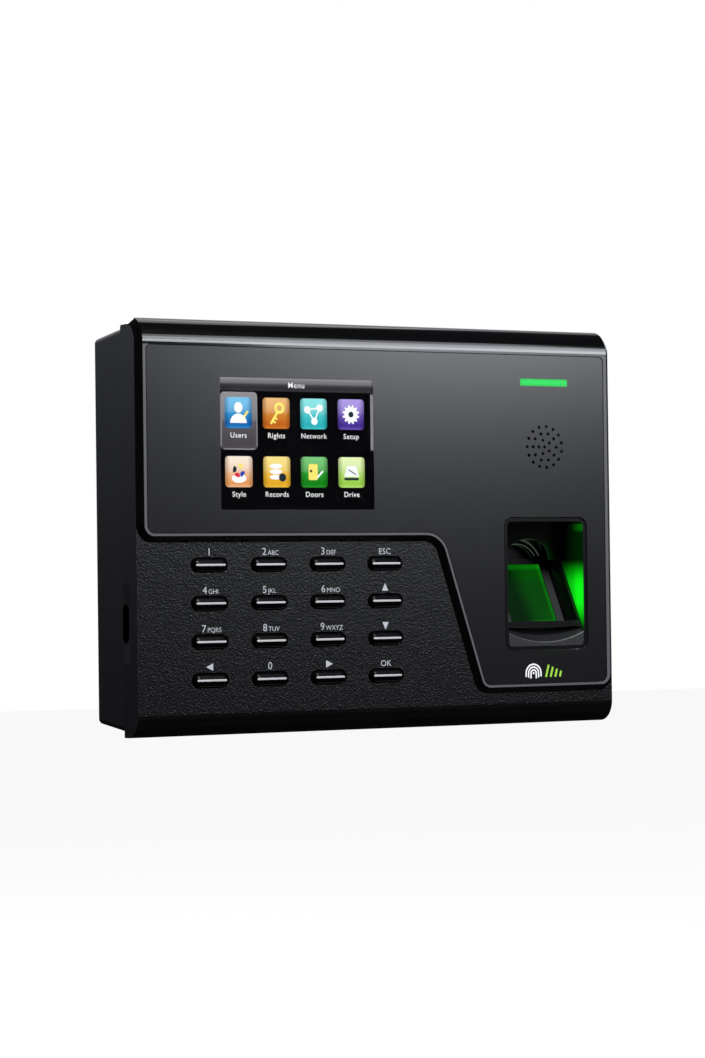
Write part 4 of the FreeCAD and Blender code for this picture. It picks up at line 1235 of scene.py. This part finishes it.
            pale.disc((x - 0.4 * MM, z + (2.1 - 2.0 * level) * MM), 2.6 * MM, squash=0.34)
        dark.disc((x + 2.3 * MM, z - 2.0 * MM), 1.5 * MM)
        x, z = middle(6)
        gold.rect((x - 2.4 * MM, z - 2.9 * MM), (x + 1.4 * MM, z + 3.0 * MM), 0.6 * MM)
        dark.disc((x - 1.4 * MM, z + 0.4 * MM), 0.5 * MM)
        pale.bar((x + 0.6 * MM, z - 2.6 * MM), (x + 3.6 * MM, z + 0.4 * MM), 0.7 * MM)
        x, z = middle(7)
        pale.loop([(x - 3.2 * MM, z - 1.6 * MM), (x + 3.2 * MM, z - 1.6 * MM), (x + 2.0 * MM, z + 2.4 * MM),
                   (x - 1.9 * MM, z + 2.4 * MM)])
        dark.rect((x - 3.1 * MM, z - 2.9 * MM), (x + 3.0 * MM, z - 2.0 * MM), 0.3 * MM)
        dark.bar((x - 1.3 * MM, z + 1.0 * MM), (x + 2.0 * MM, z - 0.9 * MM), 0.35 * MM)
        pale.done(white)
        gold.done(Glow("menu_gold", srgb(236, 222, 110)).build())
        dark.done(Glow("menu_dark", srgb(30, 44, 52)).build())
        red.done(Glow("menu_red", srgb(206, 40, 66)).build())
        blue.done(Glow("menu_blue", srgb(46, 70, 170)).build())


@dataclass
class Sensor:
    """Finger well: liner, glass with its frame, grey finger rest, and the module behind."""

    arch_rise: float = 5.6 * MM
    frame_lip: float = 2.0 * MM

    def build(self) -> None:
        """Dress the sensor's nodes."""
        x, z = middle_of("sensor_bezel")
        well_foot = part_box("finger_rest")[0].z
        dress(WellLiner(middle_x=x, foot_z=well_foot, arch_z=z + self.arch_rise), "sensor_bezel")
        low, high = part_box("sensor_prism")
        glass_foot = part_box("sensor_glass_frame")[0].z + self.frame_lip
        dress(LitPrism(left_x=low.x, right_x=high.x, foot_z=glass_foot, top_z=high.z), "sensor_prism")
        dress(MouldedPlastic("frame_dark_grey", srgb(26, 23, 28), 0.6, specular=0.2), "sensor_glass_frame")
        dress(MouldedPlastic("rest_satin_grey", srgb(26, 26, 29), 0.33, 0.25 * MM, 0.004 * MM), "finger_rest")
        dress(MouldedPlastic("housing_black", srgb(14, 14, 15), 0.55), "sensor_housing", "sensor_camera")


@dataclass
class Inside:
    """Boards, sockets and small parts inside the case and in its cable bay."""

    seed: int = 7
    chip_field: Point = (100.0 * MM, 46.0 * MM)
    chip: Place = (2.0 * MM, 0.7 * MM, 1.2 * MM)
    contact_pitch: float = 1.02 * MM
    pad_pitch: float = 2.5 * MM
    cloth_radius: float = 9.3 * MM
    thread_pitch: float = 0.6 * MM

    def build(self) -> None:
        """Dress the inner nodes and add the pins and chips that repeat."""
        dress(CircuitBoard(), "main_board", "keypad_board", "usb_board", "sensor_board", "status_light_board")
        dress(MouldedPlastic("terminal_green", srgb(22, 128, 62), 0.42), "terminal_blocks")
        dress(MouldedPlastic("component_black", srgb(20, 20, 21), 0.5), "power_jack", "ethernet_jack", "relay",
              "processor", "battery_holder", "usb_tongue", "tamper_switch")
        dress(Metal("shell_nickel", (0.66, 0.66, 0.66), 0.24), "shield_can", "usb_socket",
              "speaker_basket", "coin_cell")
        dress(MouldedPlastic("ribbon_grey", srgb(206, 208, 212), 0.4), "lcd_ribbon", "keypad_ribbon")
        dress(MouldedPlastic("pin_white", srgb(222, 222, 216), 0.4), "tamper_plunger")
        dress(MouldedPlastic("cone_film", srgb(26, 26, 27), 0.3), "speaker_cone")
        dress(Glow("lamp_green", srgb(60, 230, 80), 1.5), "status_leds", "sensor_leds")
        dress(LightBar(middle_z=middle_of("status_light_guide")[1]), "status_light_guide")
        self.chips()
        self.contacts()
        self.cloth()

    def chips(self) -> None:
        """Small chip parts scattered over the wall side of the main board, clear of the sockets."""
        low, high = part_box("main_board")
        pattern = Pattern("board_chips", MouldedPlastic("chip_body", srgb(36, 36, 38), 0.4).build())
        wide, tall = pattern.size("Width", self.chip_field[0]), pattern.size("Height", self.chip_field[1])
        seed = pattern.size("Seed", self.seed, "Int")
        grid = pattern.node("GeometryNodeMeshGrid", Size_X=wide, Size_Y=tall, Vertices_X=15, Vertices_Y=8)
        stood = pattern.node("GeometryNodeTransform", Geometry=grid, Rotation=(math.pi / 2, 0, 0),
                             Translation=((low.x + high.x) / 2, high.y + 0.35 * MM, high.z - 36 * MM))
        jitter = pattern.node("FunctionNodeRandomValue", 0, {"data_type": "FLOAT_VECTOR"},
                              i0=(-2 * MM, 0, -2 * MM), i1=(2 * MM, 0, 2 * MM), Seed=seed)
        moved = pattern.node("GeometryNodeSetPosition", Geometry=stood, Offset=jitter)
        chip = pattern.node("GeometryNodeMeshCube", Size=self.chip)
        scale = pattern.node("FunctionNodeRandomValue", 0, {"data_type": "FLOAT_VECTOR"}, i0=(0.6, 1.0, 0.6),
                             i1=(1.5, 1.0, 1.4), Seed=seed)
        pattern.piece(pattern.instances(moved, chip, Scale=scale))

    def contacts(self) -> None:
        """Gold contacts of the network socket and the USB tongue, each a row of springs or pads."""
        gold = Metal("contact_gold", (0.83, 0.62, 0.25), 0.25).build()
        jack_low, jack_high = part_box("ethernet_jack")
        row = Pattern("network_contacts", gold)
        count, pitch = row.size("Count", 8, "Int"), row.size("Pitch", (self.contact_pitch, 0.0, 0.0), "Vector")
        start = row.size("Start", ((jack_low.x + jack_high.x) / 2 - 3.5 * self.contact_pitch,
                                   jack_low.y + 3.4 * MM, jack_low.z + 6.0 * MM), "Vector")
        wire = row.node("GeometryNodeMeshCube", Size=(0.4 * MM, 0.3 * MM, 8.0 * MM))
        row.piece(row.instances(row.line_of(count, start, pitch), wire, Rotation=(math.radians(-14), 0, 0)))
        tongue_low, tongue_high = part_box("usb_tongue")
        pads = Pattern("usb_contacts", gold)
        count, pitch = pads.size("Count", 4, "Int"), pads.size("Pitch", (0.0, 0.0, self.pad_pitch), "Vector")
        start = pads.size("Start", ((tongue_low.x + tongue_high.x) / 2, tongue_high.y + 0.06 * MM,
                                    (tongue_low.z + tongue_high.z) / 2 - 1.5 * self.pad_pitch), "Vector")
        pad = pads.node("GeometryNodeMeshCube", Size=(7.0 * MM, 0.12 * MM, 1.1 * MM))
        pads.piece(pads.instances(pads.line_of(count, start, pitch), pad))

    def cloth(self) -> None:
        """Dust cloth behind the speaker holes: threads one way, each as long as its chord of the opening."""
        x, z = middle_of("speaker_cone")
        radius, pitch = self.cloth_radius, self.thread_pitch
        count = int(2 * radius / pitch) - 1
        black = MouldedPlastic("dust_cloth", srgb(22, 22, 23), 0.8).build()
        pattern = Pattern("speaker_cloth", black)
        reach = pattern.size("Radius", radius)
        rows = pattern.size("Threads", count, "Int")
        start = pattern.size("Start", (x, FACE_Y + 1.4 * MM, z - radius + pitch), "Vector")
        offset = pattern.size("Pitch", (0.0, 0.0, pitch), "Vector")
        line = pattern.line_of(rows, start, offset)
        height = pattern.node("ShaderNodeSeparateXYZ", 2, Vector=pattern.node("GeometryNodeInputPosition"))

        def maths(operation: str, **values: object) -> bpy.types.NodeSocket:
            """One Math node in the pattern."""
            return pattern.node("ShaderNodeMath", 0, {"operation": operation}, **values)
        off = maths("SUBTRACT", i0=height, i1=z)
        square = maths("MULTIPLY", i0=off, i1=off)
        whole = maths("MULTIPLY", i0=reach, i1=reach)
        chord = maths("SQRT", i0=maths("SUBTRACT", i0=whole, i1=square))
        scale = pattern.node("ShaderNodeCombineXYZ", 0, X=chord, Y=1.0, Z=1.0)
        thread = pattern.node("GeometryNodeMeshCube", Size=(2.0, 0.12 * MM, 0.42 * MM))
        pattern.piece(pattern.instances(line, thread, Scale=scale))


INWARDS = Vector((0.0, 1.0, 0.0))   # from the viewer towards the wall


@dataclass
class Elastic:
    """What gives way when something is pressed: the key mat's domes and the tamper spring.

    The mat is cut just in front of its sheet, at the collar. What stands in front of the cut is the domes.
    """

    sheet: float = 0.8 * MM
    collar: float = 0.05 * MM
    reach: float = 4.0 * MM
    spare: float = 0.05 * MM
    wire: float = 0.25 * MM
    turns: float = 4.5
    steps: int = 20
    sides: int = 8

    def build(self) -> None:
        """Make the mat's sheet, its domes and the spring in place of their rigid CAD nodes."""
        silicone = MouldedPlastic("silicone_grey", srgb(116, 116, 120), 0.65).build()
        low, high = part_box("key_mat")
        cut = high.y - self.sheet - self.collar
        sheet = place(self.half_of_mat("key_mat_sheet", cut, 1.0), "key_mat_sheet", silicone)
        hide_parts("key_mat")
        for joint in frame["joints"]:
            if not joint["child"].endswith(CAP):
                self.spring()
                continue
            key = joint["child"].removesuffix(CAP)
            middle = middle_of(key)
            dome = place(self.half_of_mat(key + "_dome", cut, -1.0, middle), key + "_dome", silicone)
            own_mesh(dome)

    def half_of_mat(self, name: str, cut: float, side: float,
                    middle: Optional[Point] = None) -> bpy.types.Mesh:
        """The mat's shape on one side of a plane across its domes, closed again.

        Args:
            name: the mesh's name.
            cut: y of the plane.
            side: 1 for what lies behind the plane, -1 for what stands in front of it.
            middle: keeps only the dome round this point.

        Returns:
            The closed mesh.
        """
        node = frame["nodes"]["key_mat"]
        bm = bmesh.new()
        bm.from_mesh(node.data)
        bm.transform(node.matrix_world)
        bmesh.ops.remove_doubles(bm, verts=bm.verts, dist=SAME)
        bmesh.ops.bisect_plane(bm, geom=[*bm.verts, *bm.edges, *bm.faces], dist=0.01 * SAME,
                               plane_co=(0.0, cut, 0.0), plane_no=(0.0, side, 0.0), clear_inner=True)
        if middle is not None:
            far = [v for v in bm.verts if math.hypot(v.co.x - middle[0], v.co.z - middle[1]) > self.reach]
            bmesh.ops.delete(bm, geom=far, context="VERTS")
        rim = [e for e in bm.edges if e.is_boundary]
        bmesh.ops.triangle_fill(bm, edges=rim, use_beauty=True, use_dissolve=False, normal=(0.0, -side, 0.0))
        return finished(bm, name)

    def spring(self) -> None:
        """The tamper spring as a round coil.
        """
        low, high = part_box("tamper_spring")
        x, z = middle_of("tamper_spring")
        coil = (high.x - low.x) / 2 - self.wire
        tall = high.y - low.y
        count = int(self.turns * self.steps)
        around = [math.tau * k / self.sides for k in range(self.sides)]
        bm = bmesh.new()
        rings = []
        for i in range(count + 1):
            angle = math.tau * i / self.steps
            out = Vector((math.cos(angle), 0.0, math.sin(angle)))
            y = low.y + self.wire + (tall - 2 * self.wire) * i / count
            centre = Vector((x, y, z)) + out * coil
            rings.append([bm.verts.new(centre + self.wire * (out * math.cos(t) + INWARDS * math.sin(t)))
                          for t in around])
        for a, b in zip(rings, rings[1:]):
            for k in range(self.sides):
                j = (k + 1) % self.sides
                bm.faces.new((a[k], a[j], b[j], b[k]))
        bm.faces.new(rings[0])
        bm.faces.new(rings[-1])
        steel = Metal("spring_steel", (0.55, 0.55, 0.56), 0.26).build()
        piece = place(finished(bm, "tamper_coil"), "tamper_coil", steel, smooth=True)
        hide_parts("tamper_spring")
        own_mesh(piece)


@dataclass
class Emblem:
    """A generic mark under the finger well: fingertip ridges and a row of leaning bars."""

    sink: float = 0.02 * MM
    half_stroke: float = 0.3 * MM
    pitch: float = 1.08 * MM
    arches: int = 3
    arch_left: float = 7.4 * MM
    bars: int = 4
    bar_pitch: float = 2.1 * MM
    bar_width: float = 0.85 * MM
    bar_drop: float = 1.6 * MM
    drop: float = 10.2 * MM
    lean: float = 0.28

    def build(self) -> None:
        """Grow nested arches and a row of bars, each shorter than the one before."""
        x = middle_of("sensor_bezel")[0]
        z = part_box("finger_rest")[0].z - self.drop
        front = FACE_Y + self.sink
        white = MouldedPlastic("emblem_white", srgb(242, 242, 242), 0.5, 0.2 * MM, 0.002 * MM).build()
        lime = MouldedPlastic("emblem_lime", srgb(146, 206, 46), 0.5, 0.2 * MM, 0.002 * MM).build()
        ridges = Stencil("emblem_ridges", front)
        middle = (x - self.arch_left + 1.0 * MM, z)
        for i in range(self.arches):
            radius = self.half_stroke + 0.35 * MM + (i + 0.5) * self.pitch
            ridges.ring(middle, radius + self.half_stroke, radius - self.half_stroke, 0.0, math.pi, 20)
            for side in (-1, 1):
                leg = middle[0] + side * radius
                length = (2.0 - 0.35 * i) * MM
                ridges.rect((leg - self.half_stroke, z - length), (leg + self.half_stroke, z + 0.01 * MM))
        ridges.disc((middle[0], z), 0.42 * MM, 16).done(white)
        row = Stencil("emblem_bars", front)
        for i in range(self.bars):
            tall = (4.6 - 0.8 * i) * MM
            start = x - 0.8 * MM + i * self.bar_pitch
            row.bar((start, z - self.bar_drop), (start + self.lean * tall, z - self.bar_drop + tall),
                    self.bar_width)
        row.done(lime)


# ------------------------------------------------------------------------------------------ studio
COOL: Colour = (0.9, 0.94, 1.0)


@dataclass(frozen=True)
class Softbox:
    """One rectangular soft light: its middle, its width and height, its watts, tint and the point it faces."""

    name: str
    where: Place
    size: Point
    watts: float
    tint: Colour = COOL
    aim: Place = (0.0, 0.0, 0.05)

    def hang(self) -> None:
        """Add the light to the scene."""
        data = bpy.data.lights.new(self.name, "AREA")
        data.shape, data.size, data.size_y = "RECTANGLE", *self.size
        data.energy, data.color = self.watts, self.tint
        lamp = bpy.data.objects.new(self.name, data)
        lamp.location = self.where
        lamp.rotation_euler = (Vector(self.aim) - Vector(self.where)).to_track_quat("-Z", "Y").to_euler()
        bpy.context.scene.collection.objects.link(lamp)


@dataclass
class Studio:
    """Pale floor, soft lights and the camera."""

    camera_place: Place = (-0.6005, -1.0629, -0.0204)
    right: Place = (0.86668, -0.4987, -0.01264)
    up: Place = (0.00268, -0.02069, 0.99978)
    lens: float = 108.9
    floor_z: float = -0.32
    room: float = 0.04
    lights: tuple[Softbox, ...] = (
        Softbox("key_light_low", (0.7, -1.08, 0.28), (0.33, 0.24), 3.4),
        Softbox("key_light_left", (0.4, -1.1, 0.34), (0.26, 0.12), 0.9),
        Softbox("key_light_middle", (0.58, -1.06, 0.5), (0.54, 0.22), 2.8),
        Softbox("key_light_high", (0.64, -1.02, 0.72), (0.4, 0.24), 1.0),
        Softbox("fill_light", (0.15, -1.1, 1.25), (0.5, 0.5), 34.0, (1, 1, 1)),
        Softbox("top_light", (0.3, 0.85, 1.4), (1.2, 0.8), 3.2, (1, 1, 1)),
        Softbox("back_left_light", (-0.7, 1.2, 0.55), (1.2, 0.6), 4.0, (0.84, 0.88, 1.0), (-0.1, 0.0, 0.04)),
        Softbox("back_right_light", (0.75, 1.3, 0.8), (1.6, 1.2), 2.6, aim=(0.0, 0.0, 0.08)),
        Softbox("rear_fill_light", (0.0, 1.5, 1.1), (0.8, 0.6), 14.0, (1, 1, 1), (0.0, 0.0, 0.0)))

    def build(self) -> None:
        """Place everything that isn't part of the object."""
        self.floor()
        self.sky()
        self.camera()
        for light in self.lights:
            light.hang()

    def floor(self) -> None:
        """A wide pale floor below the object."""
        bm = bmesh.new()
        bmesh.ops.create_grid(bm, x_segments=1, y_segments=1, size=6.0)
        mesh = finished(bm, "floor", outwards=False)
        mesh.transform(Matrix.Translation((0, 0, self.floor_z)))
        g = Graph("floor_pale")
        g.set(Base_Color=g.mix(g.noise(0.4, 2.0), (0.86, 0.86, 0.86), (0.9, 0.9, 0.9)), Roughness=0.9)
        pale = g.node("Emission", Color=(1.0, 1.0, 1.0), Strength=1.06)
        dark = g.node("BsdfDiffuse", Color=(0.02, 0.02, 0.02))
        seen = g.node("MixShader", i0=0.12, i1=pale, i2=g.shader.outputs[0])
        eye = g.node("LightPath", "Is Camera Ray")
        g.tree.links.new(g.node("MixShader", i0=eye, i1=dark, i2=seen), g.output.inputs["Surface"])
        mesh.materials.append(g.material)
        floor = bpy.data.objects.new("floor", mesh)
        bpy.context.scene.collection.objects.link(floor)

    def sky(self) -> None:
        """White surroundings for the eye, a dim grey room for the gloss."""
        world = bpy.data.worlds.new("studio")
        world.use_nodes = True
        tree = world.node_tree
        tree.nodes.clear()
        out = tree.nodes.new("ShaderNodeOutputWorld")
        white, room = tree.nodes.new("ShaderNodeBackground"), tree.nodes.new("ShaderNodeBackground")
        white.inputs[0].default_value, white.inputs[1].default_value = (1, 1, 1, 1), 1.0
        room.inputs[0].default_value, room.inputs[1].default_value = (0.9, 0.93, 1.0, 1), self.room
        ray, mix = tree.nodes.new("ShaderNodeLightPath"), tree.nodes.new("ShaderNodeMixShader")
        tree.links.new(ray.outputs["Is Camera Ray"], mix.inputs[0])
        tree.links.new(room.outputs[0], mix.inputs[1])
        tree.links.new(white.outputs[0], mix.inputs[2])
        tree.links.new(mix.outputs[0], out.inputs[0])
        bpy.context.scene.world = world
        bpy.context.scene.view_settings.view_transform = "Standard"

    def camera(self) -> None:
        """A long lens at the left, a little below the middle of the case."""
        data = bpy.data.cameras.new("camera")
        data.lens, data.sensor_width, data.sensor_fit = self.lens, 36.0, "AUTO"
        data.clip_start = 0.05
        camera = bpy.data.objects.new("camera", data)
        right, up = Vector(self.right).normalized(), Vector(self.up).normalized()
        back = right.cross(up)
        turn = Matrix((right, up, back)).transposed().to_4x4()
        camera.matrix_world = Matrix.Translation(self.camera_place) @ turn
        bpy.context.scene.collection.objects.link(camera)
        bpy.context.scene.camera = camera


def main() -> None:
    """Build every sub-assembly in order."""
    logging.basicConfig(level=logging.INFO, format="%(name)s: %(message)s")
    parts: tuple[type[SubAssembly], ...] = (
        Studio, Case, Legends, Keys, Display, Sensor, Inside, Elastic, Emblem)
    for part in parts:
        part().build()
        log.info("built %s", part.__name__)


if __name__ == "__main__":
    main()
